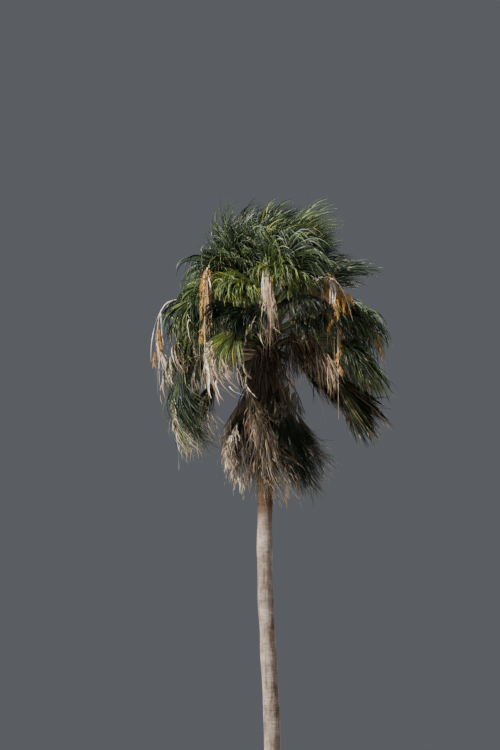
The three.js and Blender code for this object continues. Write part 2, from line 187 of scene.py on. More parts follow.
def poseLeaf(row, azimuth, seed, nudge):
    # where a leaf stands and which way its blade faces
    rule, uneven, nudgeBy = leafRule, leafRule["uneven"], leafRule["nudgeBy"]
    draw = makeDraw(seed)
    rise = math.radians(row["rise"] + draw() * uneven["rise"] + nudge * nudgeBy["rise"])
    seat = row["seat"] + draw() * uneven["seat"]
    out, level, direction = outwards(math.radians(azimuth + nudge * nudgeBy["azimuth"]), rise)
    inside = max(trunkRadius(seat) - rule["seatDepth"], rule["seatLeast"])
    foot = trunkAxis(seat) + out * (0.0 if row["name"] == rule["middleRow"] else inside)
    pull = air["down"] * row["sag"] + air["wind"] * row["sway"] * rule["stemSway"]
    stemLength = row["petiole"] * (1 + draw() * uneven["petiole"]) + rule["seatDepth"]
    stem = bentPaths(foot, direction, stemLength, evenly(pull))
    hub, stemEnd = along(stem, nearEnd)
    roll = math.radians(row["roll"]) + draw() * uneven["roll"] + nudge * nudgeBy["roll"]
    level = unit(level - stemEnd * np.dot(level, stemEnd))
    lift = 1 - rule["leeLift"] * row["sway"] * max(0.0, float(np.dot(out, air["wind"])))
    forward = turned(stemEnd, level, math.radians(row["nod"]) * lift)
    side = turned(level, forward, roll)
    blade = row["blade"] * (1 + draw() * uneven["blade"])
    return {**row, "blade": blade, "seed": seed, "stem": stem, "hub": hub,
            "forward": forward, "side": side, "normal": np.cross(forward, side)}


def bladeRays(leaf, t, closed=1.0, turnedBy=0.0, angleNudge=0.0, lengthShare=1.0, droopShare=1.0,
              swayShare=1.0, limp=0.0, bent=0.0, raised=0.0, kink=0.0, kinkAt=never):
    # the middle lines of leaflets at t, from -1 at one edge of the fan to 1 at the other
    rule = leafRule

    def column(values):
        return (values * np.ones_like(t))[:, None]

    angle = column((t * closed + turnedBy) * math.radians(leaf["spread"]) / 2 + angleNudge)
    start = leaf["forward"] * np.cos(angle) + leaf["side"] * np.sin(angle)
    across = leaf["side"] * np.cos(angle) - leaf["forward"] * np.sin(angle)
    length = leaf["blade"] * (1 - rule["sideShort"] * np.abs(t) ** rule["sidePower"]) * lengthShare
    droop, sway, slack = column(leaf["droop"] * droopShare), column(leaf["sway"] * swayShare), column(limp)
    aside = across * column(bent) + leaf["normal"] * column(raised)
    kinkPlace = column(kinkAt)

    def pullAt(share):
        hanging = droop + slack * float(ease(share, *rule["limpBetween"]))
        freed = rule["freePull"] if rule["freeBetween"][0] < share < rule["freeBetween"][1] else 0.0
        broken = kink * (np.abs(share - kinkPlace) < 0.5 / pathSteps)
        towardsTip = rule["tipPull"] * float(ease(share, rule["pullFrom"], 1))
        return (air["down"] * hanging + air["wind"] * sway) * towardsTip + aside * freed + broken

    hub = np.repeat(leaf["hub"][None], len(t), axis=0)
    return bentPaths(hub, start, length[:, None], pullAt), across, length


def webCorners(leaf):
    # the solid leaf's corners where its leaflets part, to know it by
    t = np.linspace(-1, 1, leaf["leaflets"] + 1)
    path, across, _ = bladeRays(leaf, t)
    point, direction = along(path, leafRule["webShare"])
    normal = unit(np.cross(direction, across))
    side = np.where(np.arange(len(t)) % 2 == 1, 1.0, -1.0)[:, None]
    half = leaf["blade"] * leafRule["thickness"] / 2
    return point + normal * (side * leafRule["pleat"] + half)


def grownLeaf(row, azimuth, seed, node):
    # the place that the solid leaf grew in, found among the places the rule tries
    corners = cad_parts[node].data.vertices
    tree = KDTree(len(corners))
    for i, vertex in enumerate(corners):
        tree.insert(vertex.co, i)
    tree.balance()
    best = None
    for attempt in range(leafRule["attempts"]):
        nudge = (attempt + 1) // 2 * (1 if attempt % 2 else -1)
        leaf = poseLeaf(row, azimuth, seed, nudge)
        miss = sum(tree.find(corner)[2] for corner in webCorners(leaf))
        if best is None or miss < best["miss"]:
            best = {**leaf, "miss": miss, "nudge": nudge}
    if best["miss"] > leafRule["miss"]:
        print("leaf", node, "is off by", round(best["miss"], 4))
    return best


leaves = {}
for r, row in enumerate(leafRows):
    for i, (azimuth, node) in enumerate(zip(row["azimuths"], nodesOf(row))):
        leaves[node] = grownLeaf(row, azimuth, seeds["row"] * (r + 1) + i, node)
print("growth rule set on", len(leaves), "leaves")


# Materials

# How a leaf's one colour is broken up, darker to lighter, and how its veins stand out
leafFinish = {
    "patches": {"Scale": 7.0, "Detail": 4.0}, "dark": (0.3, 0.75), "even": 0.5, "light": (0.72, 1.25),
    "veinStretch": (22.0, 1.2, 1.0), "veins": {"Scale": 2.0, "Detail": 3.0},
    "bump": {"Strength": 0.45, "Distance": 0.003},
}
# For each shade: its colour, its roughness and how much it shines. Among the greens, lightgreen and greygreen
# are lighter copies dealt to leaflets as painted sunlight and sheen, and deepgreen and shadegreen are darker
# copies that paint the shade deep inside the crown.
leafShades = {
    "lightgreen": ((0.228, 0.300, 0.124), 0.42, 0.5),
    "freshgreen": ((0.120, 0.178, 0.044), 0.42, 0.5),
    "midgreen": ((0.046, 0.085, 0.033), 0.42, 0.5),
    "deepgreen": ((0.018, 0.037, 0.016), 0.45, 0.5),
    "shadegreen": ((0.008, 0.017, 0.008), 0.5, 0.45),
    "greygreen": ((0.150, 0.190, 0.150), 0.42, 0.5),
    "yellowgreen": ((0.370, 0.400, 0.060), 0.45, 0.45),
    "olive": ((0.105, 0.100, 0.030), 0.55, 0.4),
    "tan": ((0.320, 0.235, 0.145), 0.7, 0.3),
    "brown": ((0.088, 0.063, 0.041), 0.75, 0.3),
    "darkbrown": ((0.030, 0.020, 0.013), 0.8, 0.25),
    "greybrown": ((0.155, 0.141, 0.124), 0.8, 0.25),
    "rust": ((0.230, 0.090, 0.030), 0.75, 0.3),
    "straw": ((0.520, 0.425, 0.300), 0.7, 0.3),
    "cream": ((0.900, 0.800, 0.690), 0.6, 0.35),
    "pinkbrown": ((0.500, 0.330, 0.245), 0.7, 0.3),
    "orange": ((0.720, 0.390, 0.070), 0.7, 0.3),
}


def newMaterial(name):
    material = bpy.data.materials.new(name)
    material.use_nodes = True
    nodes = material.node_tree.nodes
    nodes.clear()
    shader = nodes.new("ShaderNodeBsdfPrincipled")
    output = nodes.new("ShaderNodeOutputMaterial")
    material.node_tree.links.new(shader.outputs["BSDF"], output.inputs["Surface"])
    return material, shader


def addNode(material, kind, settings=None, **inputs):
    node = material.node_tree.nodes.new(kind)
    for key, value in (settings or {}).items():
        setattr(node, key, value)
    for key, value in inputs.items():
        socket = node.inputs[key.replace("_", " ")]
        if isinstance(value, bpy.types.NodeSocket):
            material.node_tree.links.new(value, socket)
        else:
            socket.default_value = value
    return node


def rampBetween(material, factor, stops):
    ramp = addNode(material, "ShaderNodeValToRGB", Fac=factor)
    elements = ramp.color_ramp.elements
    elements[0].position, elements[0].color = stops[0][0], (*stops[0][1], 1)
    elements[1].position, elements[1].color = stops[-1][0], (*stops[-1][1], 1)
    for position, colour in stops[1:-1]:
        elements.new(position).color = (*colour, 1)
    return ramp.outputs["Color"]


def darkened(material, colour, factor, stops, amount):
    # the colour with a pattern of shade laid over it
    shade = rampBetween(material, factor, stops)
    mix = addNode(material, "ShaderNodeMix", {"data_type": "RGBA", "blend_type": "MULTIPLY"})
    mix.inputs[0].default_value = amount
    material.node_tree.links.new(colour, mix.inputs[6])
    material.node_tree.links.new(shade, mix.inputs[7])
    return mix.outputs[2]


def stretched(material, place, scale, **noiseInputs):
    mapping = addNode(material, "ShaderNodeMapping", Vector=place)
    mapping.inputs["Scale"].default_value = scale
    pattern = addNode(material, "ShaderNodeTexNoise", Vector=mapping.outputs["Vector"], **noiseInputs)
    return pattern.outputs["Fac"]


def leafMaterial(name, colour, roughness, specular):
    # one plain colour, a little uneven, with fine veins that run along each leaflet
    finish = leafFinish
    (darkAt, dark), (lightAt, light) = finish["dark"], finish["light"]
    material, shader = newMaterial(name)
    place = addNode(material, "ShaderNodeTexCoord")
    patches = addNode(material, "ShaderNodeTexNoise", Vector=place.outputs["Object"], **finish["patches"])
    base = rampBetween(material, patches.outputs["Fac"], [
        (darkAt, tuple(c * dark for c in colour)), (finish["even"], colour),
        (lightAt, tuple(min(1, c * light) for c in colour))])
    material.node_tree.links.new(base, shader.inputs["Base Color"])
    veins = stretched(material, place.outputs["UV"], finish["veinStretch"], **finish["veins"])
    bump = addNode(material, "ShaderNodeBump", Height=veins, **finish["bump"])
    material.node_tree.links.new(bump.outputs["Normal"], shader.inputs["Normal"])
    shader.inputs["Roughness"].default_value = roughness
    shader.inputs["Specular IOR Level"].default_value = specular
    return material


shadeMaterials = {name: leafMaterial(name, *settings) for name, settings in leafShades.items()}


# Leaflets, straps, fibres and thin branches are all folded strips along bent paths

def foldedStrips(path, across, shares, halfWidth, fold, twist):
    point, direction = along(path, shares)
    a = unit(across[:, None, :] - direction * dot(across[:, None, :], direction))
    n = np.cross(direction, a)
    c, s = np.cos(twist)[..., None], np.sin(twist)[..., None]
    a, n = a * c + n * s, n * c - a * s
    w = halfWidth[..., None]
    raised = n * w * fold * 0.5
    return np.stack([point - a * w + raised, point - raised, point + a * w + raised], axis=2)


def newStrips(name, shades):
    # strips of one kind, gathered to be one piece
    return {"name": name, "shades": list(shades), "total": 0,
            "corners": [], "quads": [], "picks": [], "places": []}


def addStrips(group, corners, picks, lengths, shares):
    # picks holds the number of a shade for each length of each strip
    count, stations = corners.shape[:2]
    base = (np.arange(count)[:, None, None] * stations + np.arange(stations - 1)[None, :, None]) * 3
    halves = np.array([[0, 1, 4, 3], [1, 2, 5, 4]])
    group["corners"].append(corners.reshape(-1, 3))
    group["quads"].append((base[..., None] + halves[None, None]).reshape(-1, 4) + group["total"])
    group["total"] += count * stations * 3
    group["picks"].append(np.broadcast_to(picks[..., None], (count, stations - 1, 2)).reshape(-1))
    u = np.broadcast_to(np.array([0.0, 0.5, 1.0]), (count, stations, 3)) + np.arange(count)[:, None, None]
    v = np.broadcast_to((lengths[:, None] * np.asarray(shares))[..., None], (count, stations, 3))
    group["places"].append(np.stack([u, v], axis=-1).reshape(-1, 2))


def placePiece(name, mesh, materials):
    for material in materials:
        mesh.materials.append(material)
    mesh.polygons.foreach_set("use_smooth", np.ones(len(mesh.polygons), bool))
    piece = bpy.data.objects.new(name, mesh)
    bpy.context.scene.collection.objects.link(piece)
    print("made", name, len(mesh.polygons), "faces")
    return piece


def finishStrips(group):
    corners, quads = np.concatenate(group["corners"]), np.concatenate(group["quads"])
    mesh = bpy.data.meshes.new(group["name"])
    mesh.vertices.add(len(corners))
    mesh.vertices.foreach_set("co", corners.ravel())
    mesh.loops.add(quads.size)
    mesh.loops.foreach_set("vertex_index", quads.ravel())
    mesh.polygons.add(len(quads))
    mesh.polygons.foreach_set("loop_start", np.arange(len(quads)) * 4)
    mesh.polygons.foreach_set("material_index", np.concatenate(group["picks"]).astype(np.int32))
    mesh.update(calc_edges=True)
    places = np.concatenate(group["places"])[quads.ravel()]
    mesh.uv_layers.new(name="strip").data.foreach_set("uv", places.ravel())
    ends = np.zeros(len(mesh.edges) * 2, np.int32)
    mesh.edges.foreach_get("vertices", ends)
    ribs = np.all(ends.reshape(-1, 2) % 3 == 1, axis=1)  # the fold stays sharp
    mesh.attributes.new("sharp_edge", "BOOLEAN", "EDGE").data.foreach_set("value", ribs)
    return placePiece(group["name"], mesh, [shadeMaterials[shade] for shade in group["shades"]])


def dealt(rng, shades, order, count):
    # the numbers of shades for many things, dealt by weight
    weights = np.array([shades[name] for name in shades], float)
    numbers = np.array([order.index(name) for name in shades])
    return numbers[rng.choice(len(numbers), count, p=weights / weights.sum())]


# The fans of leaflets

bladeLook = {
    "stations": [0.03, 0.15, 0.28, 0.38, 0.46, 0.54, 0.62, 0.7, 0.78, 0.86, 0.93, 1.0],
    "perLeaflet": 4.2,     # fine leaflets for each leaflet of the solid leaf
    "tuft": 3.2,           # how many free ends cling together
    "overlap": 1.05, "foldDepth": 1.1, "foldMore": 0.8, "tipWidth": 0.05, "tipRound": (1.5, 0.9),
    "twistSoon": 5, "splitStray": 0.03, "splitBetween": (0.28, 0.5),
    "kink": 14.0, "kinkStray": 0.8, "kinkWind": 0.4, "kinkDown": 0.5, "kinkBetween": (0.46, 0.85),
    "likeTheFan": 0.3,     # the share of leaflets that have one shade in common
    "dryShare": 0.7, "dryLeast": 0.01,
}
# How far leaflets differ in every fan, and what a crumpled fan adds
leafletsDiffer = {
    "astray": (0, 0.3), "angle": (0.15, 1.2), "length": (0.03, 0.1), "droop": (0.12, 0.25), "sway": (0.2, 0.25),
    "limp": (0.35, 0), "raised": (0.1, 0), "twist": (0.3, 0.7),
}
# What a look can say of a fan, and what holds where it says nothing
plainLook = {
    "limp": 0.0,        # how far the free ends hang
    "crumple": 0.5,     # how uneven the blade is
    "kinks": 0.3,       # how many leaflets are broken
    "dryTip": 0.0,      # how much of each end may be dry
    "layers": 1,        # how many leaves stand together in a solid leaf's place
    "apart": 1.0,       # how far the layers rise apart, and how much their stems shrink unless shorter says
    "risen": 0,         # degrees that the other layers rise
    "round": 0,         # degrees that they stand further round the trunk
    "closed": 1.0,      # how wide the fan opens
    "turnedBy": 0.0,    # how far its leaflets are turned to one edge
    "tilt": 0,          # degrees that it is rolled on its stem
    "reach": 1.0,       # how long its leaflets are
    "fine": 1.0,        # how many leaflets it has
    "droops": 1.0,      # how heavy they are
    "combed": 1.0,      # how far the wind combs them
    "tufted": 1.7,      # how closely free ends cling together
    "clinging": 0,      # dead fans along the leaf's own stem
    "clingAside": 0,    # how far those turn aside
}
# For each row: its shades by weight, its look, its stems' shade and its slot
rowLooks = dict(
    spear_leaf=dict(
        shades=dict(lightgreen=3, freshgreen=3, midgreen=2), limp=0.1, crumple=0.2, kinks=0.1, layers=2,
        closed=1.3, reach=1.05, combed=2.6, stem="yellowgreen", slot="young_green"),
    top_leaf=dict(
        shades=dict(freshgreen=3, midgreen=5, lightgreen=1, greygreen=3, deepgreen=8, shadegreen=7), limp=0.1,
        crumple=0.42, kinks=0.2, dryTip=0.01, layers=7, closed=0.95, reach=1.08, combed=1.3, droops=0.8,
        shorter=0.5, fine=1.4, stem="lightgreen", slot="green"),
    upper_leaf=dict(
        shades=dict(freshgreen=2, midgreen=5, lightgreen=2, greygreen=2, deepgreen=7, shadegreen=4), limp=0.4,
        crumple=0.48, kinks=0.25, dryTip=0.02, layers=6, closed=0.95, combed=1.3, droops=0.8, fine=1.3,
        stem="lightgreen", slot="green"),
    shoulder_leaf=dict(
        shades=dict(midgreen=6, freshgreen=3, lightgreen=2, deepgreen=6, greygreen=1, shadegreen=4), limp=1.2,
        dryTip=0.04, layers=4, closed=0.92, reach=0.95, combed=1.2, fine=1.15, stem="lightgreen", slot="green"),
    spreading_leaf=dict(
        shades=dict(midgreen=5, deepgreen=7, freshgreen=2, lightgreen=2, shadegreen=4, olive=1), limp=1.4,
        # the stems' darker green paints the shade they stand in
        dryTip=0.07, layers=5, closed=0.9, reach=0.92, combed=1.1, fine=1.15, stem="midgreen",
        slot="dark_green"),
    arching_leaf=dict(
        shades=dict(olive=3, midgreen=4, lightgreen=2, tan=1, deepgreen=6, straw=1, shadegreen=3), limp=1.6,
        crumple=0.6, kinks=0.35, dryTip=0.2, layers=3, closed=0.8, reach=0.95, stem="olive", slot="olive"),
    weeping_leaf=dict(
        shades=dict(olive=2, midgreen=3, tan=1, greybrown=1, deepgreen=4, straw=1), limp=0.6, crumple=0.7,
        dryTip=0.3, layers=2, closed=0.6, combed=1.3, stem="tan", slot="olive"),
    hanging_leaf=dict(
        shades=dict(brown=4, greybrown=1, darkbrown=8, rust=2, tan=1, shadegreen=2), limp=2.6, crumple=0.8,
        dryTip=0.1, layers=5, closed=0.75, reach=0.7, combed=0.7, apart=1.6, risen=22, round=-14, clinging=5,
        fine=1.3, stem="brown", slot="brown"),
    streaming_leaf=dict(
        shades=dict(brown=2, darkbrown=4, shadegreen=5, deepgreen=3, tan=1, olive=2), crumple=0.35, kinks=0.1,
        dryTip=0.03, layers=3, closed=0.36, turnedBy=-0.1, reach=1.02, droops=0.8, apart=0.4, clinging=10,
        clingAside=0.32, stem="brown", slot="brown"),
    collar_leaf=dict(
        shades=dict(brown=4, greybrown=3, darkbrown=5, tan=1, shadegreen=3, rust=1), limp=0.5, crumple=0.8,
        kinks=0.5, dryTip=0.15, layers=4, closed=0.7, apart=0.4, fine=1.4, stem="brown", slot="brown"),
    skirt_leaf=dict(
        shades=dict(greybrown=6, brown=4, darkbrown=6, tan=1, shadegreen=3, rust=1), limp=0.6, crumple=0.9,
        kinks=0.4, dryTip=0.06, layers=5, closed=0.8, apart=0.6, fine=1.6, stem="brown", slot="straw"),
)
# the upper left fans carry more light green, which paints the sunlight on that side
backShoulder = dict(
    shades=dict(midgreen=5, freshgreen=4, lightgreen=4, deepgreen=6, greygreen=2, shadegreen=3),
    combed=1.3, layers=6, reach=0.9)
leftSpreading = dict(
    shades=dict(midgreen=5, deepgreen=6, freshgreen=3, lightgreen=5, shadegreen=3, olive=2),
    combed=1.3, layers=7, reach=0.9)
# Single leaves that differ from their row
leafLooks = dict(
    # more light and yellow green paint the sunlight on this leaf
    top_leaf_1=dict(
        shades=dict(freshgreen=4, lightgreen=2, yellowgreen=3, midgreen=4, deepgreen=4),
        reach=1.25, combed=1.7, closed=0.6, turnedBy=0.15, crumple=0.35),
    top_leaf_2=dict(reach=0.95, combed=1.2, closed=0.5, turnedBy=-0.5),
    top_leaf_3=dict(combed=1.8, reach=1.16, droops=0.4, layers=9, shorter=0.3),
    top_leaf_4=dict(reach=1.14, combed=1.6, closed=0.85, turnedBy=0.1, droops=0.3, layers=12, shorter=0.2),
    top_leaf_5=dict(
        shades=dict(freshgreen=4, midgreen=5, lightgreen=3, yellowgreen=1, deepgreen=6, shadegreen=4),
        reach=1.12, combed=2.0, turnedBy=-0.35),
    upper_leaf_1=dict(reach=0.9, combed=0.9, layers=2),
    upper_leaf_2=dict(combed=0.9, layers=2),
    upper_leaf_4=dict(reach=0.9, layers=9),
    upper_leaf_5=dict(
        shades=dict(freshgreen=3, midgreen=3, lightgreen=3, greygreen=3, deepgreen=6, shadegreen=4),
        reach=1.1, limp=2.2, turnedBy=0.1, layers=4),
    shoulder_leaf_1=dict(
        shades=dict(deepgreen=6, midgreen=3, shadegreen=2, greygreen=1),
        limp=0.0, combed=1.0, droops=0.2, tilt=-20, closed=0.7),
    shoulder_leaf_4=backShoulder,
    shoulder_leaf_5=backShoulder,
    shoulder_leaf_6=dict(
        shades=dict(yellowgreen=4, lightgreen=5, freshgreen=3, midgreen=1),
        layers=3, crumple=0.3, kinks=0.1, closed=0.6, turnedBy=-0.35, tufted=2.2),
    shoulder_leaf_7=dict(
        shades=dict(midgreen=3, freshgreen=5, lightgreen=9, yellowgreen=3, deepgreen=4, shadegreen=2),
        closed=0.5, turnedBy=-0.9, limp=3.0, layers=6, round=-4),
    # more grey-green and light green paint the cool fill light on the crown's shaded right side
    spreading_leaf_1=dict(
        shades=dict(midgreen=6, deepgreen=5, freshgreen=2, lightgreen=3, greygreen=5, shadegreen=2),
        layers=8, limp=2.6, reach=1.1, dryTip=0.05),
    spreading_leaf_4=leftSpreading,
    spreading_leaf_5=leftSpreading,
    # a fan in the darkest greens, which paint the shadowed hollow in the front of the crown
    spreading_leaf_6=dict(
        shades=dict(deepgreen=5, shadegreen=8, midgreen=1),
        reach=0.88, limp=0.6, droops=0.9, layers=3, closed=0.3, turnedBy=-0.42),
    spreading_leaf_7=dict(
        shades=dict(deepgreen=6, shadegreen=6, midgreen=2, brown=1),
        reach=0.65, layers=7, closed=0.7, turnedBy=-0.1, limp=3.0, round=-18),
    arching_leaf_2=dict(reach=0.7, layers=1, closed=0.6),
    arching_leaf_4=dict(
        shades=dict(straw=2, cream=1, tan=1, olive=3, deepgreen=6, midgreen=4, shadegreen=3, lightgreen=2),
        combed=2.2, layers=6, reach=0.9),
    arching_leaf_5=dict(
        shades=dict(yellowgreen=4, lightgreen=2, freshgreen=5, olive=1), limp=0.0, droops=1.35, crumple=0.15,
        kinks=0.0, layers=1, reach=0.76, dryTip=0.1, closed=0.62, turnedBy=-0.34, tufted=2.6),
    # more grey-green and light green paint the cool fill light on the crown's shaded right side
    arching_leaf_6=dict(
        shades=dict(midgreen=6, deepgreen=5, yellowgreen=1, lightgreen=4, greygreen=5, shadegreen=2),
        reach=1.16, combed=2.4, layers=8, dryTip=0.06, turnedBy=-0.2),
    weeping_leaf_1=dict(
        shades=dict(shadegreen=3, darkbrown=3, deepgreen=3, olive=2, greybrown=1),
        closed=0.75, turnedBy=0.8, reach=0.82, layers=3, round=17),
    weeping_leaf_2=dict(
        shades=dict(deepgreen=4, olive=2, greybrown=2), closed=0.5, turnedBy=0.6, layers=3, round=16),
    weeping_leaf_3=dict(
        shades=dict(midgreen=5, deepgreen=8, greygreen=3, lightgreen=3, shadegreen=6), layers=8, combed=4.4,
        reach=1.15, turnedBy=-0.5, fine=1.3, closed=0.8, round=8, dryTip=0.15),
    collar_leaf_1=dict(
        shades=dict(shadegreen=3, darkbrown=4, brown=2), closed=0.3, turnedBy=1.6, reach=0.7, layers=1,
        kinks=0.1),
    collar_leaf_3=dict(
        shades=dict(greybrown=4, tan=3, straw=2, brown=4, darkbrown=4), tilt=-40, reach=1.05),
    # dark browns and greens that paint the shaded gap in the skirt
    collar_leaf_4=dict(
        shades=dict(brown=3, greybrown=1, darkbrown=6, rust=1, shadegreen=4, olive=2),
        reach=0.6, closed=0.45, turnedBy=0.5),
    collar_leaf_5=dict(
        shades=dict(brown=3, darkbrown=4, shadegreen=4), reach=0.58, turnedBy=-0.5, closed=0.4),
    skirt_leaf_1=dict(
        shades=dict(shadegreen=5, darkbrown=3, deepgreen=3, olive=2), dryTip=0.15, closed=0.4, reach=0.9,
        apart=0.2, combed=1.4, kinks=0.15, layers=3),
    skirt_leaf_2=dict(closed=0.5, turnedBy=0.3, reach=0.88, layers=3),
    # its own leaflets are dark browns and greens that paint the shaded gap in the skirt
    skirt_leaf_4=dict(
        shades=dict(greybrown=2, brown=3, darkbrown=7, shadegreen=6, olive=1),
        dryTip=0.1, tilt=60, closed=0.65),
    skirt_leaf_5=dict(
        shades=dict(greybrown=6, brown=4, darkbrown=5, tan=1, rust=1, olive=1), reach=1.3, kinks=0.25,
        closed=0.42, turnedBy=-0.04, apart=0.2, layers=4),
    skirt_leaf_6=dict(
        shades=dict(shadegreen=7, deepgreen=8, darkbrown=1, brown=1), dryTip=0.05, reach=1.15, crumple=0.3,
        kinks=0.05, layers=7, apart=0.4),
)
layerShift = {
    "rise": 9, "roll": 24, "lower": 0.03, "seat": 0.05, "shorter": 0.12, "petiole": 0.1, "smaller": 0.9,
    "blade": 0.06, "aside": 3, "azimuth": 12, "clingFrom": 0.3, "clingTurn": 0.16, "clingRoll": 0.6,
}


def tilted(leaf, angle):
    side = turned(leaf["side"], leaf["forward"], angle)
    return {**leaf, "side": side, "normal": np.cross(leaf["forward"], side)}


def leafLayers(row, leaf, look):
    # the leaf itself, and others that stand close round it, a little shorter
    shift = layerShift
    found = [leaf]
    shorter = look.get("shorter", look["apart"])
    draw = makeDraw(leaf["seed"] + seeds["layers"])
    middle = row["azimuths"][leaf["seed"] % seeds["row"]]
    for _ in range(look["layers"] - 1):
        beside = {
            **row,
            "rise": row["rise"] + look["risen"] + draw() * shift["rise"] * look["apart"],
            "roll": row["roll"] + draw() * shift["roll"],
            "seat": row["seat"] - shift["lower"] + draw() * shift["seat"],
            "petiole": row["petiole"] * (1 - (shift["shorter"] + draw() * shift["petiole"]) * shorter),
            "blade": row["blade"] * (shift["smaller"] + draw() * shift["blade"]),
        }
        azimuth = middle + math.copysign(shift["aside"] + shift["azimuth"] * abs(draw()), draw())
        found.append(poseLeaf(beside, azimuth + look["round"], leaf["seed"] + seeds["beside"], leaf["nudge"]))
    for i in range(look["clinging"]):
        # dead fans that cling along the leaf's own stem
        share = shift["clingFrom"] + (1 - shift["clingFrom"]) * (i + 0.5) / look["clinging"]
        hub, _ = along(leaf["stem"], share)
        forward = turned(leaf["forward"], leaf["side"], draw() * shift["clingTurn"])
        forward = turned(forward, leaf["normal"], draw() * shift["clingTurn"] + look["clingAside"])
        side = unit(leaf["side"] - forward * np.dot(leaf["side"], forward))
        side = turned(side, forward, draw() * shift["clingRoll"])
        found.append({**leaf, "hub": hub, "forward": forward, "side": side, "borne": True})
    return [tilted(layer, math.radians(look["tilt"])) for layer in found]


def addFan(group, leaf, look, rng):
    blade = bladeLook
    count = round(leaf["leaflets"] * blade["perLeaflet"] * look["fine"])

    def differ(name, shape=count, size=1):
        every, crumpled = leafletsDiffer[name]
        return rng.normal(0, size * (every + crumpled * look["crumple"]), shape)

    t = (2 * np.arange(count) + 1) / count - 1
    halfAngle = math.radians(leaf["spread"] * look["closed"]) / 2
    tuft = np.cumsum(rng.random(count) < 1 / blade["tuft"])
    middle = np.array([t[tuft == number].mean() for number in tuft])
    astray = differ("astray", (2, tuft[-1] + 1))[:, tuft]
    breeze = air["wind"] * blade["kinkWind"]
    path, across, length = bladeRays(
        leaf, t, look["closed"], look["turnedBy"],
        angleNudge=differ("angle", size=2 * halfAngle / count),
        lengthShare=look["reach"] * (1 - np.abs(differ("length"))),
        droopShare=look["droops"] * (1 + differ("droop")),
        swayShare=look["combed"] * (1 + differ("sway")),
        limp=look["limp"] * (1 + differ("limp")),
        bent=(middle - t) * halfAngle * look["tufted"] + astray[0],
        raised=astray[1] + differ("raised"),
        kink=(rng.normal(0, blade["kinkStray"], (count, 3)) + breeze + air["down"] * blade["kinkDown"])
        * blade["kink"],
        kinkAt=np.where(rng.random(count) < look["kinks"], rng.uniform(*blade["kinkBetween"], count), never),
    )
    shares = np.array(blade["stations"])
    split = leafRule["webShare"] + rng.normal(0, blade["splitStray"], count)
    split = np.clip(split, *blade["splitBetween"])[:, None]
    spread = math.tan(math.radians(leaf["spread"]) / count / 2) * blade["overlap"]
    joined = np.minimum(shares[None], split) * length[:, None] * spread
    free = np.clip((shares[None] - split) / (1 - split), 0, 1)
    soon, late = blade["tipRound"]
    halfWidth = joined * np.maximum((1 - free ** soon) ** late, blade["tipWidth"])
    twist = differ("twist", (2, count))[..., None]
    twist = twist[0] * free + twist[1] * np.minimum(1, free * blade["twistSoon"])
    fold = blade["foldDepth"] * (1 + blade["foldMore"] * look["crumple"] * free[..., None])
    corners = foldedStrips(path, across, shares, halfWidth, fold, twist)
    picks = np.where(rng.random(count) < blade["likeTheFan"], dealt(rng, look["shades"], group["shades"], 1),
                     dealt(rng, look["shades"], group["shades"], count))
    picks = np.repeat(picks[:, None], len(shares) - 1, axis=1)
    dryFrom = 1 - look["dryTip"] * rng.random(count)
    dry = shares[None, 1:] > dryFrom[:, None] + blade["dryLeast"]
    dry = dry & (rng.random(count) < blade["dryShare"])[:, None]
    addStrips(group, corners, np.where(dry, group["shades"].index("straw"), picks), length, shares)


bladePieces, grownLayers = {}, {}
for r, row in enumerate(leafRows):
    rng = np.random.default_rng(seeds["fans"] + r)
    looks = {node: {**plainLook, **rowLooks[row["name"]], **leafLooks.get(node, {})} for node in nodesOf(row)}
    shades = dict.fromkeys([shade for look in looks.values() for shade in look["shades"]] + ["straw"])
    group = newStrips(row["name"] + "_fans", shades)
    for node, look in looks.items():
        grownLayers[node] = leafLayers(row, leaves[node], look)
        for layer in grownLayers[node]:
            addFan(group, layer, look, rng)
    bladePieces[row["name"]] = finishStrips(group)


# Leaf stems

stemLook = {
    "foot": 0.024, "end": 0.012, "flat": 0.62, "sides": 8,
    "shares": [0.0, 0.05, 0.12, 0.24, 0.36, 0.5, 0.64, 0.78, 0.9, 1.0],
    "baseWidth": 2.0, "baseShare": 0.3,
    "ribLength": 0.3, "ribEnd": 0.0015, "ribSag": 0.3, "ribShares": [0.3, 0.65, 1.0],
}


def meshPiece(name, bm, materials):
    mesh = bpy.data.meshes.new(name)
    bm.normal_update()
    bm.to_mesh(mesh)
    bm.free()
    return placePiece(name, mesh, materials)


def ringPlace(point, direction, across, wide, high):
    a = unit(across - direction * np.dot(across, direction))
    b = np.cross(direction, a)
    turn = Matrix((a, b, direction)).transposed().to_4x4()
    return Matrix.Translation(Vector(point)) @ turn @ Matrix.Diagonal((wide, high, 1, 1))


def ringPlaces(path, across, shares, wide, high):
    # a ring at each share of the path, each with its own half widths
    points, directions = along(path, np.minimum(shares, nearEnd))
    return [ringPlace(*ring[:2], across, *ring[2:]) for ring in zip(points, directions, wide, high)]


def sweep(bm, places, sides):
    # a tube drawn out ring by ring along places, each a matrix that sets one ring
    ring = bmesh.ops.create_circle(bm, segments=sides, radius=1, cap_ends=False, matrix=places[0])["verts"]
    edges = list(dict.fromkeys(edge for vert in ring for edge in vert.link_edges))
    bmesh.ops.contextual_create(bm, geom=edges)
    for before, after in zip(places, places[1:]):
        drawn = bmesh.ops.extrude_edge_only(bm, edges=edges)["geom"]
        verts = [item for item in drawn if isinstance(item, bmesh.types.BMVert)]
        edges = [item for item in drawn
                 if isinstance(item, bmesh.types.BMEdge) and set(verts).issuperset(item.verts)]
        bmesh.ops.transform(bm, matrix=after @ before.inverted(), verts=verts)
    bmesh.ops.contextual_create(bm, geom=edges)


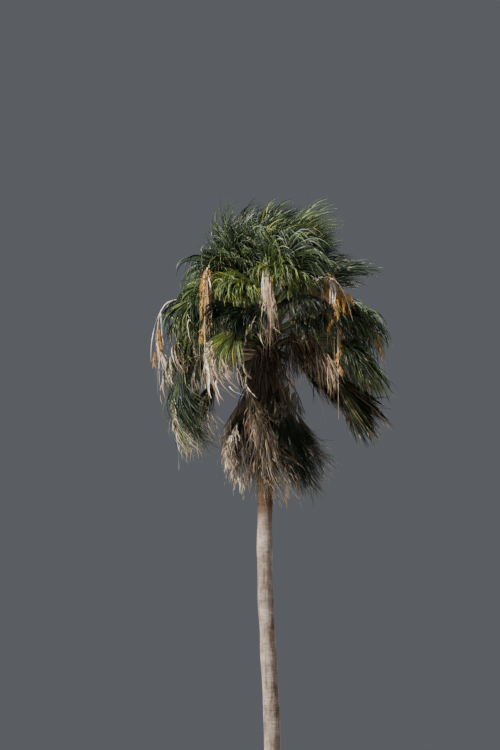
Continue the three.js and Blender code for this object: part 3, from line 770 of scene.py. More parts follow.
def addStem(bm, leaf):
    look = stemLook
    shares = np.array(look["shares"])
    radius = look["foot"] + (look["end"] - look["foot"]) * shares
    wide = radius * (1 + (look["baseWidth"] - 1) * (1 - ease(shares, 0, look["baseShare"])))
    places = ringPlaces(leaf["stem"], leaf["side"], shares, wide, radius * look["flat"])
    ribPull = evenly(air["down"] * leaf["droop"] * look["ribSag"])
    rib = bentPaths(leaf["hub"], leaf["forward"], leaf["blade"] * look["ribLength"], ribPull)
    shares = np.minimum(look["ribShares"], nearEnd)
    radius = look["end"] + (look["ribEnd"] - look["end"]) * shares
    places += ringPlaces(rib, leaf["side"], shares, radius, radius)
    sweep(bm, places, look["sides"])


stemPieces = {}
for row in leafRows:
    bm = bmesh.new()
    for layer in [layer for node in nodesOf(row) for layer in grownLayers[node] if "borne" not in layer]:
        addStem(bm, layer)
    bmesh.ops.recalc_face_normals(bm, faces=bm.faces)
    shade = rowLooks[row["name"]]["stem"]
    stemPieces[row["name"]] = meshPiece(row["name"] + "_stems", bm, [shadeMaterials[shade]])


# The trunk, with leaf scars in rings, cracks down its length and slow lumps

trunkLook = {
    "sides": 72, "rings": 620, "footSmooth": 0.02,
    "scarPitch": 0.075, "scarHeight": 0.0035, "scarWaver": 0.5, "scarWidth": 0.16, "scarLeast": 0.45,
    "scarMore": 0.55, "crackDepth": 0.006, "crackWidth": 0.07, "crackLeast": 0.4, "lump": 0.004, "fine": 0.0015,
    # each pattern: how fast it changes around the trunk and up it, and where it starts
    "patterns": {"waver": (1.5, 1.3, 0), "scars": (2, 3.7, 0), "cracks": (5.5, 0.55, 40), "breaks": (3, 2.2, 9),
                 "lumps": (1.1, 2.1, 5), "fine": (24, 60, 0)},
}
barkLook = {
    "blotches": {"Scale": 3.2, "Detail": 5.0, "Roughness": 0.62},
    "colours": [(0.28, (0.140, 0.105, 0.082)), (0.45, (0.290, 0.232, 0.195)), (0.6, (0.420, 0.350, 0.305)),
                (0.78, (0.560, 0.485, 0.435))],
    "bandStretch": (2.0, 2.0, 14.0), "bands": {"Scale": 4.0, "Detail": 4.0, "Roughness": 0.7},
    "bandShades": [(0.3, (0.5, 0.45, 0.42)), (0.6, (1, 1, 1))], "bandDepth": 0.85,
    "streakStretch": (16.0, 16.0, 1.5), "streaks": {"Scale": 1.6, "Detail": 4.0, "Roughness": 0.65},
    "streakShades": [(0.36, (0.4, 0.35, 0.31)), (0.5, (1, 1, 1))], "streakDepth": 0.75,
    # the bark from just under the skirt upwards is darkened to brown: partly the brown of old fibres, partly a
    # painted shadow of the skirt
    "shadowedAndBrowned": {"From_Min": 6.9, "From_Max": 7.6},
    "shadowAndBrownShades": [(0.1, (1, 1, 1)), (0.85, (0.34, 0.25, 0.19))],
    "grit": {"Scale": 90.0, "Detail": 5.0, "Roughness": 0.7}, "gritBump": {"Strength": 0.6, "Distance": 0.006},
    "bandBump": {"Strength": 0.7, "Distance": 0.012}, "roughness": 0.9, "specular": 0.25,
}


def barkPattern(name, turn, z):
    around, up, start = trunkLook["patterns"][name]
    return noise.noise(Vector((math.cos(turn) * around, math.sin(turn) * around, z * up + start)))


def barkRelief(turn, z):
    look = trunkLook
    phase = z / look["scarPitch"] + barkPattern("waver", turn, z) * look["scarWaver"]
    scar = math.exp(-(((phase % 1) - 0.5) / look["scarWidth"]) ** 2)
    scar *= look["scarLeast"] + look["scarMore"] * abs(barkPattern("scars", turn, math.floor(phase)))
    crack = math.exp(-((barkPattern("cracks", turn, z) / look["crackWidth"]) ** 2))
    crack *= max(0.0, look["crackLeast"] + barkPattern("breaks", turn, z))
    lump, fine = look["lump"] * barkPattern("lumps", turn, z), look["fine"] * barkPattern("fine", turn, z)
    return look["scarHeight"] * scar - look["crackDepth"] * crack + lump + fine


def barkMaterial():
    look = barkLook
    material, shader = newMaterial("ringedbark")
    links = material.node_tree.links
    place = addNode(material, "ShaderNodeTexCoord").outputs["Object"]
    blotches = addNode(material, "ShaderNodeTexNoise", Vector=place, **look["blotches"])
    colour = rampBetween(material, blotches.outputs["Fac"], look["colours"])
    bands = stretched(material, place, look["bandStretch"], **look["bands"])
    streaks = stretched(material, place, look["streakStretch"], **look["streaks"])
    colour = darkened(material, colour, bands, look["bandShades"], look["bandDepth"])
    colour = darkened(material, colour, streaks, look["streakShades"], look["streakDepth"])
    # darker brown from just under the skirt upwards: partly old fibres, partly a painted shadow of the skirt
    height = addNode(material, "ShaderNodeSeparateXYZ", Vector=place).outputs["Z"]
    highUp = addNode(material, "ShaderNodeMapRange", Value=height, **look["shadowedAndBrowned"]).outputs["Result"]
    colour = darkened(material, colour, highUp, look["shadowAndBrownShades"], 1.0)
    links.new(colour, shader.inputs["Base Color"])
    grit = addNode(material, "ShaderNodeTexNoise", Vector=place, **look["grit"])
    bump = addNode(material, "ShaderNodeBump", Height=grit.outputs["Fac"], **look["gritBump"])
    ringBump = addNode(material, "ShaderNodeBump", Height=bands, Normal=bump.outputs["Normal"],
                       **look["bandBump"])
    links.new(ringBump.outputs["Normal"], shader.inputs["Normal"])
    shader.inputs["Roughness"].default_value = look["roughness"]
    shader.inputs["Specular IOR Level"].default_value = look["specular"]
    return material


def buildTrunk():
    look, height = trunkLook, trunkForm["height"]
    bm = bmesh.new()
    bmesh.ops.create_cone(bm, cap_ends=True, segments=look["sides"], radius1=1, radius2=1, depth=height)
    bmesh.ops.translate(bm, verts=bm.verts, vec=(0, 0, height / 2))
    rising = [edge for edge in bm.edges if abs(edge.verts[0].co.z - edge.verts[1].co.z) > height / 2]
    bmesh.ops.subdivide_edges(bm, edges=rising, cuts=look["rings"], use_grid_fill=True)
    for vert in bm.verts:
        z, turn = vert.co.z, math.atan2(vert.co.y, vert.co.x)
        radius = trunkRadius(z) + barkRelief(turn, z) * min(1, z / look["footSmooth"])
        centre = trunkAxis(z)
        vert.co = (centre[0] + radius * math.cos(turn), centre[1] + radius * math.sin(turn), z)
    return meshPiece("trunk_bark", bm, [barkMaterial()])


trunkPiece = buildTrunk()


# Old leaf bases that stay on the trunk under the crown

bootLook = {
    "low": 9.42, "high": 10.86, "count": 150, "lift": 0.02, "turn": 137.5, "turnAside": 7,
    "length": 0.2, "lengthMore": 0.4, "width": 0.085, "widthMore": 0.2, "thickness": 0.012, "sunk": 0.004,
    "taper": 0.5, "taperBetween": (0.1, 0.8), "curl": 0.22, "bow": 0.03, "ragged": 0.05, "raggedFrom": 0.9,
    "lean": 24, "leanMore": 0.5, "twist": 0.2, "cells": (4, 6), "shades": ["darkbrown", "brown"],
}


def addBoot(bm, i, draw):
    look = bootLook
    z = look["low"] + (look["high"] - look["low"]) * (i + 0.5) / look["count"] + draw() * look["lift"]
    turn = math.radians(look["turn"] * i + draw() * look["turnAside"])
    across, upwards = look["cells"]
    made = bmesh.ops.create_grid(bm, x_segments=across, y_segments=upwards, size=0.5)["verts"]
    length = look["length"] * (1 + look["lengthMore"] * draw())
    width = look["width"] * (1 + look["widthMore"] * draw())
    for vert in made:
        x, y = vert.co.x, vert.co.y + 0.5
        narrow = 1 - look["taper"] * float(ease(y, *look["taperBetween"]))
        curl = (x * 2) ** 2 * look["curl"] * width
        ragged = look["ragged"] * draw() if y > look["raggedFrom"] else 0.0
        vert.co = (x * width * narrow, -curl + y * y * look["bow"], (y + ragged) * length)
    faces = list(dict.fromkeys(face for vert in made for face in vert.link_faces))
    for face in faces:
        face.material_index = i % 3 // 2
    solid = bmesh.ops.solidify(bm, geom=faces, thickness=look["thickness"])["geom"]
    verts = dict.fromkeys([*made, *(item for item in solid if isinstance(item, bmesh.types.BMVert))])
    lean = Matrix.Rotation(math.radians(-look["lean"] * (1 + look["leanMore"] * draw())), 4, "X")
    twist = Matrix.Rotation(look["twist"] * draw(), 4, "Y")
    outside = Matrix.Translation((0, trunkRadius(z) - look["sunk"], 0))
    place = Matrix.Translation(Vector(trunkAxis(z))) @ Matrix.Rotation(turn - math.pi / 2, 4, "Z")
    bmesh.ops.transform(bm, matrix=place @ outside @ lean @ twist, verts=list(verts))


def buildBoots():
    bm = bmesh.new()
    draw = makeDraw(seeds["boots"])
    for i in range(bootLook["count"]):
        addBoot(bm, i, draw)
    bmesh.ops.recalc_face_normals(bm, faces=bm.faces)
    return meshPiece("leaf_bases", bm, [shadeMaterials[shade] for shade in bootLook["shades"]])


bootPiece = buildBoots()


# Flower stalks and what hangs from them

stalkLook = {
    "sag": 1.35, "sagFrom": 0.4, "sagMore": 1.2, "sway": 0.12, "seatGap": 0.0003, "foot": 0.018, "end": 0.01,
    "coreFoot": 0.009, "coreEnd": 0.003, "coreSag": 3.4, "coreSway": 0.5, "coreSoon": 3, "coreStart": 0.05,
    "coreThins": 2, "sides": 8, "rings": 10, "coreRings": 12,
}
# How strips hang: their weight, how it eases along them, how gusts and curls move them, and their shape
hangLook = {
    "weight": 2.4, "weightDiffers": 0.3, "easesFrom": 1.6, "swayDiffers": 0.4, "gusts": 0.1, "curl": 2,
    "curlTurns": 13, "steps": 12, "endWidth": 0.15, "endRound": 3, "twist": 2, "fold": 0.6,
}
# What a stalk bears where its own row says nothing
plainFlower = {
    "shown": 1, "straps": 1, "sway": 0.0, "sideways": 0.2, "front": 0.0, "strapLoose": 0.6, "strandLoose": 1.2,
    "clumps": [], "ribbons": [],
}
# The thin straps and the thinner strands that hang from a stalk
strapLook = {
    "strap": {"stray": 0.3, "lengths": (0.5, 1.1), "width": 0.012, "widths": (0.4, 1.6), "sway": 0.0,
              "stations": 16, "shades": {"cream": 7, "straw": 2, "pinkbrown": 1}},
    "strand": {"stray": 0.5, "lengths": (0.4, 1.1), "width": 0.0045, "widths": (0.5, 1.8), "sway": 0.1,
               "stations": 12, "shades": {"cream": 4, "straw": 3, "tan": 3, "pinkbrown": 4}},
    "along": 0.3, "shades": ["cream", "straw", "tan", "pinkbrown"],
}
# The broad pale ribbons that show best: the place on the stalk, which way each sets out (right, up, front), its
# length and half width, how soon it hangs (weight), how far the wind moves its end (drift), and how many thin
# strands hang beside it (edge). After its shade a ribbon can say how it differs from ribbonLook.
ribbonColumns = ("at", "right", "up", "length", "width", "weight", "drift", "edge", "front", "shade")
ribbonLook = {
    "steps": 20, "strandShare": 0.3, "strandApart": 0.07, "strandLengths": (0.5, 1.0), "wobble": 0.7,
    "driftPull": 2, "ripple": 0.25, "rippleTurns": 17, "twist": 0.7, "twistTurns": 6, "phase": (0, 6),
    "endRound": 4, "fold": 0.5, "across": [1.0, -0.7, 0.25], "bunches": 0, "beset": (0.35, 0.9),
}
# For each stalk: where it grows, how many thin straps and strands it bears, how long they are, how far they
# start out sideways, where they are borne (0 to 1 along the stalk, and 1 to 2 along the bunch's own stem), its
# clumps of orange flowers, each from, to and how many, and its ribbons
flowers = [{**plainFlower, **flower} for flower in (
    dict(azimuth=262, seat=10.5, rise=66, reach=1.25, drop=1.6, shade="olive", straps=44, strapLength=0.65,
         sway=-0.15, strands=170, strandLength=1.35, between=(1.02, 1.3), sideways=0.26, front=0.6,
         strandLoose=1.9, ribbons=[
             (1.05, -0.25, -0.8, 0.5, 0.03, 2.4, 0.0, 3, 0.8, "cream"),
             (1.05, -0.12, -0.8, 0.9, 0.036, 2.2, 0.0, 3, 0.9, "cream"),
             (1.05, 0.05, -0.8, 0.7, 0.036, 2.2, 0.0, 3, 0.9, "cream"),
             (1.08, 0.2, -0.8, 0.5, 0.026, 2.4, 0.0, 3, 0.8, "cream"),
             (1.3, 0.15, -1.0, 1.0, 0.014, 1.2, 0.2, 5, 0.4, "pinkbrown"),
             (1.5, -0.5, -0.9, 1.0, 0.018, 0.3, 0.8, 9, 0.3, "tan", {"wobble": 2.6}),
             (1.5, -0.45, -0.9, 1.05, 0.018, 0.3, 1.0, 9, 0.3, "straw", {"wobble": 2.6}),
             (1.6, -0.5, -0.8, 0.9, 0.018, 0.3, 1.2, 9, 0.3, "pinkbrown", {"wobble": 2.6})]),
    dict(azimuth=224, seat=10.56, rise=62, reach=1.5, drop=2.2, shade="olive", strapLength=0.8, strands=6,
         strandLength=1.2, between=(1.15, 1.3), front=0.3,
         clumps=[(1.2, 1.32, 18), (1.42, 1.54, 12), (1.62, 1.7, 5)], ribbons=[
             (1.2, -0.1, -1.0, 2.5, 0.006, 1.4, 0.3, 1, 0.4, "straw"),
             (1.2, -0.2, -1.0, 0.36, 0.024, 1.2, 0.0, 0, 0.8, "cream"),
             (1.22, 0.05, -1.0, 0.42, 0.014, 1.2, 0.0, 0, 0.8, "cream"),
             (1.26, 0.05, -1.0, 1.5, 0.007, 1.2, 0.1, 2, 0.8, "tan"),
             (1.8, 0.15, -1.0, 1.0, 0.026, 0.7, 0.25, 2, 0.35, "cream"),
             (1.95, 0.25, -1.0, 0.8, 0.016, 0.7, 0.3, 1, 0.35, "pinkbrown")]),
    dict(azimuth=186, seat=10.42, rise=44, reach=1.75, drop=1.5, shade="cream", strapLength=0.6, sway=0.3,
         strands=10, strandLength=0.9, between=(1.3, 1.5), clumps=[(1.3, 1.4, 4), (1.52, 1.58, 2)], ribbons=[
             (1.05, -0.5, -0.8, 1.1, 0.006, 1.3, 0.3, 0, 0.35, "cream"),
             (1.15, 0.1, -1.0, 0.6, 0.006, 1.0, 0.2, 0, 0.35, "cream"),
             (1.45, 0.15, -1.0, 0.55, 0.024, 1.0, 0.0, 1, 0.35, "pinkbrown"),
             (1.5, 0.4, -0.9, 1.25, 0.026, 0.6, 0.55, 2, 0.35, "cream"),
             (1.45, 0.3, -0.9, 0.8, 0.02, 0.6, 0.5, 1, 0.35, "pinkbrown"),
             (1.5, 0.5, -0.8, 0.4, 0.018, 0.4, 0.6, 1, 0.35, "cream")]),
    dict(azimuth=320, seat=10.54, rise=56, reach=1.4, drop=1.9, shade="cream", shown=0.5, strapLength=0.9,
         sway=-0.1, strands=14, strandLength=1.5, between=(0.75, 1.1), front=0.5, strandLoose=1.8,
         clumps=[(0.68, 0.76, 10), (0.92, 1.02, 9), (1.15, 1.28, 8)], ribbons=[
             (0.84, 0.45, -0.5, 0.75, 0.014, 1.6, -0.1, 1, 0.8, "cream", {"bunches": 3}),
             (0.95, 0.4, -0.5, 0.8, 0.014, 1.6, -0.3, 1, 0.9, "cream", {"bunches": 5}),
             (1.03, 0.1, -0.5, 0.95, 0.016, 1.8, -0.35, 2, 0.9, "cream", {"bunches": 6}),
             (0.75, 0.1, -0.8, 2.5, 0.013, 2.4, 0.3, 8, 0.5, "tan"),
             (1.1, 0.0, -1.0, 2.4, 0.012, 2.0, 0.0, 4, 0.3, "straw", {"bunches": 5, "beset": (0.3, 0.6)})]),
    dict(azimuth=352, seat=10.4, rise=34, reach=1.75, drop=1.0, shade="straw", straps=2, strapLength=0.5,
         sway=0.3, strands=6, strandLength=0.6, between=(1.0, 1.4), clumps=[(1.1, 1.3, 3)], ribbons=[
             (0.95, 0.7, -0.5, 1.0, 0.009, 1.6, 0.1, 1, 0.35, "pinkbrown"),
             (1.25, 0.1, -0.9, 0.5, 0.02, 1.0, 0.0, 1, 0.35, "pinkbrown")]),
    dict(azimuth=92, seat=10.5, rise=52, reach=1.5, drop=1.6, shade="straw", straps=16, strapLength=1.2,
         strands=40, strandLength=1.1, between=(0.95, 1.3), clumps=[(1.0, 1.5, 18)]),
)]
bunchLook = {
    "branchLength": 0.26, "branchLengths": (0.7, 1.3), "branchWidth": 0.004, "branchEnd": 0.3,
    "branchFold": 1.2, "branchSteps": 8, "branchStations": 7, "branchShades": {"tan": 1, "orange": 1},
    "sideways": 1.8, "down": 0.4, "hang": 2.6, "sway": 0.2, "stray": 0.3,
    "sprigs": 56, "sprigAt": (0.1, 0.999), "sprigLength": 0.09, "sprigLengths": (0.4, 1.2),
    "sprigWidth": 0.0028, "sprigWidths": (0.6, 1.8), "sprigAside": 1.3, "sprigSway": 0.3, "sprigCurl": 0.6,
    "sprigStations": 4,
    "shades": {"orange": 8, "straw": 1, "tan": 2, "rust": 2, "brown": 1},
}


def stalkPaths(flower):
    look = stalkLook
    out, across, direction = outwards(math.radians(flower["azimuth"]), math.radians(flower["rise"]))
    foot = trunkAxis(flower["seat"]) + out * (trunkRadius(flower["seat"]) - leafRule["seatDepth"])
    pull = air["down"] * look["sag"] + air["wind"] * look["sway"]
    arc = bentPaths(foot, direction, flower["reach"] + leafRule["seatDepth"],
                    lambda share: pull * (look["sagFrom"] + look["sagMore"] * share))
    end, heading = along(arc, nearEnd)
    corePull = air["down"] * look["coreSag"] + air["wind"] * look["coreSway"]
    core = bentPaths(end + heading * look["seatGap"], heading, flower["drop"],
                     lambda share: corePull * look["coreSoon"] * (1 - share) ** 2)
    return arc, core, across


def sideways(rng, direction):
    # a random direction square to each of many directions
    other = rng.normal(0, 1, direction.shape)
    return unit(other - direction * dot(other, direction))


def addHanging(group, rng, starts, headings, length, width, shades, sway, stations, loose):
    # strips that set out along their headings, then hang, and are blown a little
    hang, count = hangLook, len(starts)
    weights = (hang["weight"] * (1 + hang["weightDiffers"] * rng.normal(0, 1, count)))[:, None]
    gusts = sway * (1 + hang["swayDiffers"] * rng.normal(0, 1, count)) + hang["gusts"] * rng.normal(0, 1, count)
    gusts = gusts[:, None]
    side = sideways(rng, unit(headings)) * loose

    def pullAt(share):
        curl = side * hang["curl"] * math.cos(share * hang["curlTurns"])
        return air["down"] * weights * (hang["easesFrom"] - share) + air["wind"] * gusts + curl

    path = bentPaths(starts, headings, length[:, None], pullAt, steps=hang["steps"])
    shares = np.linspace(0, 1, stations)
    halfWidth = width[:, None] * np.maximum(1 - shares[None] ** hang["endRound"], hang["endWidth"])
    twist = rng.normal(0, 1.0, count)[:, None] * shares[None] * hang["twist"]
    picks = np.repeat(dealt(rng, shades, group["shades"], count)[:, None], stations - 1, axis=1)
    across = sideways(rng, unit(headings))
    addStrips(group, foldedStrips(path, across, shares, halfWidth, hang["fold"], twist), picks, length, shares)


def onStalk(arc, core, places):
    # points and directions at places from 0 to 1 on the stalk, and on from 1 to 2 on the bunch's own stem
    onArc, onCore = along(arc, np.minimum(places, nearEnd)), along(core, np.clip(places - 1, 0, nearEnd))
    past = (places >= 1)[:, None]
    return np.where(past, onCore[0], onArc[0]), np.where(past, onCore[1], onArc[1])


def addRibbon(group, rng, arc, core, ribbon):
    # one broad strap, with thinner strands that hang beside it
    n = 1 + ribbon["edge"]
    thin = np.arange(n) > 0
    point, _ = onStalk(arc, core, np.full(n, ribbon["at"]))
    heading = np.array([ribbon["right"], -ribbon["front"], ribbon["up"]])
    heading = heading + rng.normal(0, 1, (n, 3)) * (ribbon["strandApart"] * thin[:, None])
    length = ribbon["length"] * np.where(thin, rng.uniform(*ribbon["strandLengths"], n), 1)
    wobble = rng.normal(0, ribbon["wobble"], (n, 3))

    def pullAt(share):
        weight = air["down"] * ribbon["weight"] * (hangLook["easesFrom"] - share)
        drift = air["wind"] * ribbon["drift"] * ribbon["driftPull"] * share
        return weight + drift + wobble * math.sin(share * hangLook["curlTurns"] * ribbon["length"])

    path = bentPaths(point, heading, length[:, None], pullAt, steps=ribbon["steps"])
    shares = np.linspace(0, 1, ribbon["steps"] + 1)
    width = ribbon["width"] * np.where(thin, ribbon["strandShare"], 1)[:, None]
    phase = rng.uniform(*ribbon["phase"], (n, 1))
    ripple = 1 + ribbon["ripple"] * np.sin(shares[None] * ribbon["rippleTurns"] + phase)
    halfWidth = width * ripple * np.maximum(1 - shares[None] ** ribbon["endRound"], hangLook["endWidth"])
    phase = rng.uniform(*ribbon["phase"], (n, 1))
    twist = ribbon["twist"] * np.sin(shares[None] * ribbon["twistTurns"] + phase)
    across = np.repeat(np.array([ribbon["across"]]), n, axis=0)
    picks = np.full((n, ribbon["steps"]), group["shades"].index(ribbon["shade"]))
    strips = foldedStrips(path, across, shares, halfWidth, ribbon["fold"], twist)
    addStrips(group, strips, picks, length, shares)
    return path


def addBunches(group, rng, point, direction):
    # short branches beset with fine sprigs
    look, n, m = bunchLook, len(point), bunchLook["sprigs"]
    heading = unit(direction + sideways(rng, direction) * look["sideways"] + air["down"] * look["down"])
    pull = air["down"] * look["hang"] + air["wind"] * look["sway"] + rng.normal(0, look["stray"], (n, 3))
    length = look["branchLength"] * rng.uniform(*look["branchLengths"], n)
    branch = bentPaths(point, heading, length[:, None], evenly(pull), steps=look["branchSteps"])
    at = rng.uniform(*look["sprigAt"], (n, m))
    found = [along((branch[0][k], branch[1][k]), at[k]) for k in range(n)]
    starts, heads = (np.concatenate(part) for part in zip(*found))
    sprigLength = look["sprigLength"] * rng.uniform(*look["sprigLengths"], n * m)
    heads = unit(heads + sideways(rng, heads) * look["sprigAside"])
    sprigWidth = look["sprigWidth"] * rng.uniform(*look["sprigWidths"], n * m)
    addHanging(group, rng, starts, heads, sprigLength, sprigWidth, look["shades"], look["sprigSway"],
               look["sprigStations"], look["sprigCurl"])
    stations = look["branchStations"]
    shares = np.linspace(0, 1, stations)
    width = look["branchWidth"] * np.maximum(1 - shares[None], look["branchEnd"]) * np.ones((n, 1))
    picks = dealt(rng, look["branchShades"], group["shades"], n)
    picks = np.repeat(picks[:, None], stations - 1, axis=1)
    across = sideways(rng, heading)
    strips = foldedStrips(branch, across, shares, width, look["branchFold"], np.zeros((n, stations)))
    addStrips(group, strips, picks, length, shares)


def addStraps(group, rng, arc, core, flower, kind):
    look, n = strapLook[kind], flower[kind + "s"]
    point, direction = onStalk(arc, core, rng.uniform(*flower["between"], n))
    front = np.array([0.0, -flower["front"], 0.0])
    stray = rng.normal(0, look["stray"], (n, 3)) * flower["sideways"]
    heading = unit(air["down"] + front + direction * strapLook["along"] + stray)
    length = flower[kind + "Length"] * rng.uniform(*look["lengths"], n)
    addHanging(group, rng, point, heading, length, look["width"] * rng.uniform(*look["widths"], n),
               look["shades"], flower["sway"] + look["sway"], look["stations"], flower[kind + "Loose"])


def buildFlowers():
    bm = bmesh.new()
    straps = newStrips("flower_straps", strapLook["shades"])
    sprigs = newStrips("flower_sprigs", bunchLook["shades"])
    look = stalkLook
    stalkShades = list(dict.fromkeys(flower["shade"] for flower in flowers))
    for i, flower in enumerate(flowers):
        rng = np.random.default_rng(seeds["flowers"] + i)
        arc, core, across = stalkPaths(flower)
        shares = np.linspace(0, 1, look["rings"])
        radius = look["foot"] + (look["end"] - look["foot"]) * shares
        places = ringPlaces(arc, across, shares, radius, radius)
        shares = np.linspace(look["coreStart"], flower["shown"], look["coreRings"])
        thinned = np.minimum(1, shares * look["coreThins"])
        radius = look["coreFoot"] + (look["coreEnd"] - look["coreFoot"]) * thinned
        places += ringPlaces(core, across, shares, radius, radius)
        before = len(bm.faces)
        sweep(bm, places, look["sides"])
        for face in list(bm.faces)[before:]:
            face.material_index = stalkShades.index(flower["shade"])
        for values in flower["ribbons"]:
            ribbon = {**ribbonLook, **dict(zip(ribbonColumns, values)), **dict(*values[len(ribbonColumns):])}
            points, directions = addRibbon(straps, rng, arc, core, ribbon)
            if ribbon["bunches"]:
                shares = np.linspace(*ribbon["beset"], ribbon["bunches"])
                addBunches(sprigs, rng, *along((points[0], directions[0]), shares))
        addStraps(straps, rng, arc, core, flower, "strap")
        addStraps(straps, rng, arc, core, flower, "strand")
        for clump in flower["clumps"]:
            addBunches(sprigs, rng, *onStalk(arc, core, np.linspace(*clump)))
    bmesh.ops.recalc_face_normals(bm, faces=bm.faces)
    stalks = meshPiece("flower_stalks", bm, [shadeMaterials[shade] for shade in stalkShades])
    return stalks, finishStrips(straps), finishStrips(sprigs)


stalkPiece, strapPiece, sprigPiece = buildFlowers()


# Dead leaflets that have come loose, and fibres round the head of the trunk

# For each leaf: how many strips it has let go (count), their length and half width, how the wind moves them
# (sway), how curly (curl) and how wild (stray) they are, on which part of the fan and how far out (at) they
# hang, and which of its layers bears them. plainLoose holds where a leaf says nothing.
plainLoose = {
    "length": 0.5, "lengths": (0.5, 1.1), "width": 0.006, "widths": (0.5, 1.5), "curl": 0.6, "stray": 0.5,
    "part": (-1, 1), "at": (0.15, 0.75), "stations": 12, "droops": 1.3,
}
looseLook = [{**plainLoose, **look} for look in (
    dict(leaf="weeping_leaf_3", count=120, sway=1.8, part=(-0.8, 1), curl=1.4, at=(0.2, 0.95), stray=0.9,
         shades=dict(cream=6, straw=4, tan=2, lightgreen=3, greygreen=3, yellowgreen=1)),
    dict(leaf="arching_leaf_4", count=40, length=0.55, width=0.007, sway=1.8, curl=1.2,
         shades=dict(cream=4, straw=4, pinkbrown=3, tan=2)),
    dict(leaf="arching_leaf_5", count=75, length=0.42, width=0.008, sway=2.4, part=(-1, 0.3), at=(0.5, 0.9),
         curl=1.4, shades=dict(straw=3, cream=2, tan=5, pinkbrown=4)),
    dict(leaf="spreading_leaf_5", count=8, sway=1.2, curl=1.2, shades=dict(cream=4, straw=2, pinkbrown=2)),
    dict(leaf="hanging_leaf_1", count=60, length=0.6, sway=0.5, part=(-1, -0.2), curl=1.6,
         shades=dict(tan=4, straw=2, brown=3, pinkbrown=2)),
    dict(leaf="weeping_leaf_2", count=14, width=0.007, sway=1.5, shades=dict(straw=3, tan=3)),
    dict(leaf="arching_leaf_3", count=24, width=0.008, sway=1.6, shades=dict(straw=3, tan=2, cream=2)),
    # these dry leaflets of the skirt's left clump are pale, and their heavy share of cream also paints the
    # sunlight that falls on the clump
    dict(leaf="collar_leaf_3", count=120, length=0.36, sway=0.2, curl=2.4, part=(-0.2, 1), at=(0.45, 0.98),
         stray=1.2, shades=dict(cream=9, straw=4, pinkbrown=3)),
    dict(leaf="skirt_leaf_4", layer=0, count=320, length=0.28, width=0.0065, sway=0.0, curl=2.6,
         at=(0.35, 0.92), stray=1.4, shades=dict(cream=9, straw=5, pinkbrown=4, tan=2, greybrown=2)),
    dict(leaf="skirt_leaf_4", layer=4, count=100, length=0.24, width=0.0055, sway=0.0, curl=2.6, at=(0.4, 0.8),
         stray=1.4, shades=dict(cream=7, straw=5, pinkbrown=4, tan=3)),
    dict(leaf="skirt_leaf_5", count=210, length=0.45, width=0.0045, sway=0.3, curl=1.8, part=(-0.5, 0.3),
         at=(0.15, 1.0), stray=1.2, shades=dict(straw=1, tan=3, rust=1, greybrown=6, brown=4)),
    dict(leaf="skirt_leaf_6", count=40, length=0.45, width=0.0045, sway=0.6, curl=1.2, at=(0.7, 0.98),
         stray=0.8, shades=dict(tan=1, rust=2, greybrown=3, brown=3, deepgreen=3)),
    dict(leaf="collar_leaf_4", count=120, length=0.45, width=0.004, sway=0.5, curl=1.8, stray=1.2,
         part=(0.3, 1.0), shades=dict(tan=2, rust=2, greybrown=4, brown=4, straw=1)),
)]
shagLook = {
    "count": 460, "low": 9.5, "high": 10.25, "out": (0.13, 0.25), "down": (0.4, 2.0), "length": 0.55,
    "lengths": (0.4, 1.2), "width": 0.005, "widths": (0.5, 1.6), "sway": 0.3, "curl": 2.0, "stations": 10,
    "shades": dict(brown=4, darkbrown=4, greybrown=3, olive=1, tan=2, rust=2, deepgreen=2),
}


def addLoose(group, rng, starts, heads, look):
    n = look["count"]
    addHanging(group, rng, starts, heads, look["length"] * rng.uniform(*look["lengths"], n),
               look["width"] * rng.uniform(*look["widths"], n), look["shades"], look["sway"],
               look["stations"], look["curl"])


def buildLoose():
    group = newStrips("loose_leaflets", dict.fromkeys(name for look in (*looseLook, shagLook)
                                                      for name in look["shades"]))
    for i, look in enumerate(looseLook):
        rng = np.random.default_rng(seeds["loose"] + i)
        node, n = look["leaf"], look["count"]
        t = rng.uniform(*look["part"], n)
        leaf = grownLayers[node][look["layer"]] if "layer" in look else leaves[node]
        closed = rowLooks[node.rsplit("_", 1)[0]]["closed"]
        (points, directions), _, _ = bladeRays(leaf, t, closed, droopShare=look["droops"])
        at = rng.uniform(*look["at"], n)
        found = [along((points[k], directions[k]), at[k]) for k in range(n)]
        starts, heads = (np.array(part) for part in zip(*found))
        addLoose(group, rng, starts, unit(heads + sideways(rng, heads) * look["stray"]), look)
    rng = np.random.default_rng(seeds["shag"])
    n = shagLook["count"]
    height = rng.uniform(shagLook["low"], shagLook["high"], n)
    turn = rng.uniform(0, 2 * np.pi, n)
    out = np.stack([np.cos(turn), np.sin(turn), np.zeros(n)], axis=-1)
    starts = np.array([trunkAxis(z) for z in height]) + out * rng.uniform(*shagLook["out"], n)[:, None]
    heads = unit(out + air["down"] * rng.uniform(*shagLook["down"], n)[:, None])
    addLoose(group, rng, starts, heads, shagLook)
    return finishStrips(group)


loosePiece = buildLoose()


# Each piece takes its body and hides the nodes it stands in for

def settle(piece, slot, *nodes):
    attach(piece, "root")
    if nodes:
        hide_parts(*nodes)


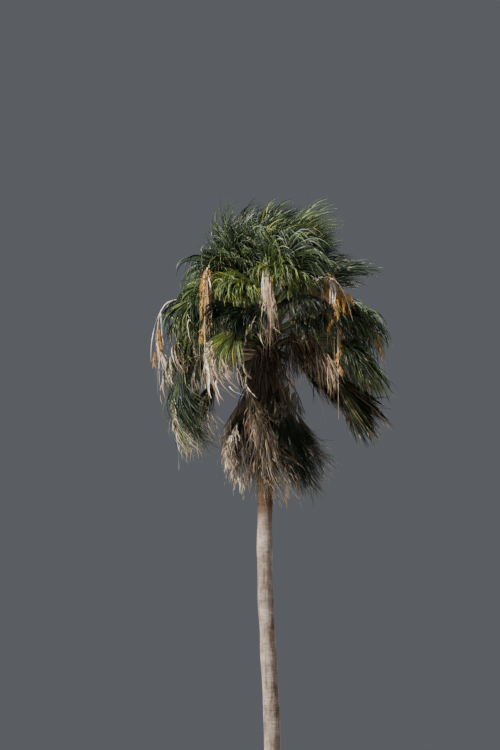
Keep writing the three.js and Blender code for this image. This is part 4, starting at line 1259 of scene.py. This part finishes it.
for row in leafRows:
    settle(bladePieces[row["name"]], rowLooks[row["name"]]["slot"], *nodesOf(row))
    settle(stemPieces[row["name"]], rowLooks[row["name"]]["slot"], *nodesOf(row))
settle(trunkPiece, "bark", "trunk")
settle(bootPiece, "bark")
settle(stalkPiece, "flower", *[f"flower_stalk_{i + 1}" for i in range(len(flowers))])
panicles = [f"flower_panicle_{i + 1}" for i in range(len(flowers))]
settle(strapPiece, "flower", *panicles)
settle(sprigPiece, "flower", *panicles)
settle(loosePiece, "straw", *dict.fromkeys(look["leaf"] for look in looseLook))


# Floor, light and camera

studio = {
    "floorSize": 400, "floorColour": (0.3, 0.3, 0.295), "floorRoughness": 0.9,
    "skyColour": (0.72, 0.77, 0.84), "skyStrength": 0.15,
    "key": {"strength": 9.5, "angle": 3, "from": (-0.64, -0.37, 0.7), "colour": (1.0, 0.94, 0.85)},
    "fill": {"strength": 2.8, "angle": 30, "from": (0.25, 0.75, 0.6), "colour": (0.8, 0.9, 1.0)},
}


def buildStudio():
    bm = bmesh.new()
    bmesh.ops.create_grid(bm, x_segments=1, y_segments=1, size=studio["floorSize"] / 2)
    material, shader = newMaterial("palefloor")
    shader.inputs["Base Color"].default_value = (*studio["floorColour"], 1)
    shader.inputs["Roughness"].default_value = studio["floorRoughness"]
    meshPiece("floor", bm, [material])
    world = bpy.data.worlds.new("sky")
    world.use_nodes = True
    background = world.node_tree.nodes["Background"]
    background.inputs["Color"].default_value = (*studio["skyColour"], 1)
    background.inputs["Strength"].default_value = studio["skyStrength"]
    bpy.context.scene.world = world
    for name in ("key", "fill"):
        look = studio[name]
        sun = bpy.data.lights.new(name, "SUN")
        sun.energy = look["strength"]
        sun.angle = math.radians(look["angle"])
        sun.color = look["colour"]
        lamp = bpy.data.objects.new(name, sun)
        lamp.rotation_euler = Vector(look["from"]).to_track_quat("Z", "Y").to_euler()
        bpy.context.scene.collection.objects.link(lamp)


cameraPlace = {"at": (-0.372, -46.0, 1.6), "pitch": 10, "lens": 132.5, "sensor": 36, "far": 400}


def addCamera():
    data = bpy.data.cameras.new("camera")
    data.lens = cameraPlace["lens"]
    data.sensor_width = cameraPlace["sensor"]
    data.clip_end = cameraPlace["far"]
    camera = bpy.data.objects.new("camera", data)
    camera.location = cameraPlace["at"]
    camera.rotation_euler = (math.radians(90 + cameraPlace["pitch"]), 0, 0)
    bpy.context.scene.collection.objects.link(camera)
    bpy.context.scene.camera = camera


buildStudio()
addCamera()
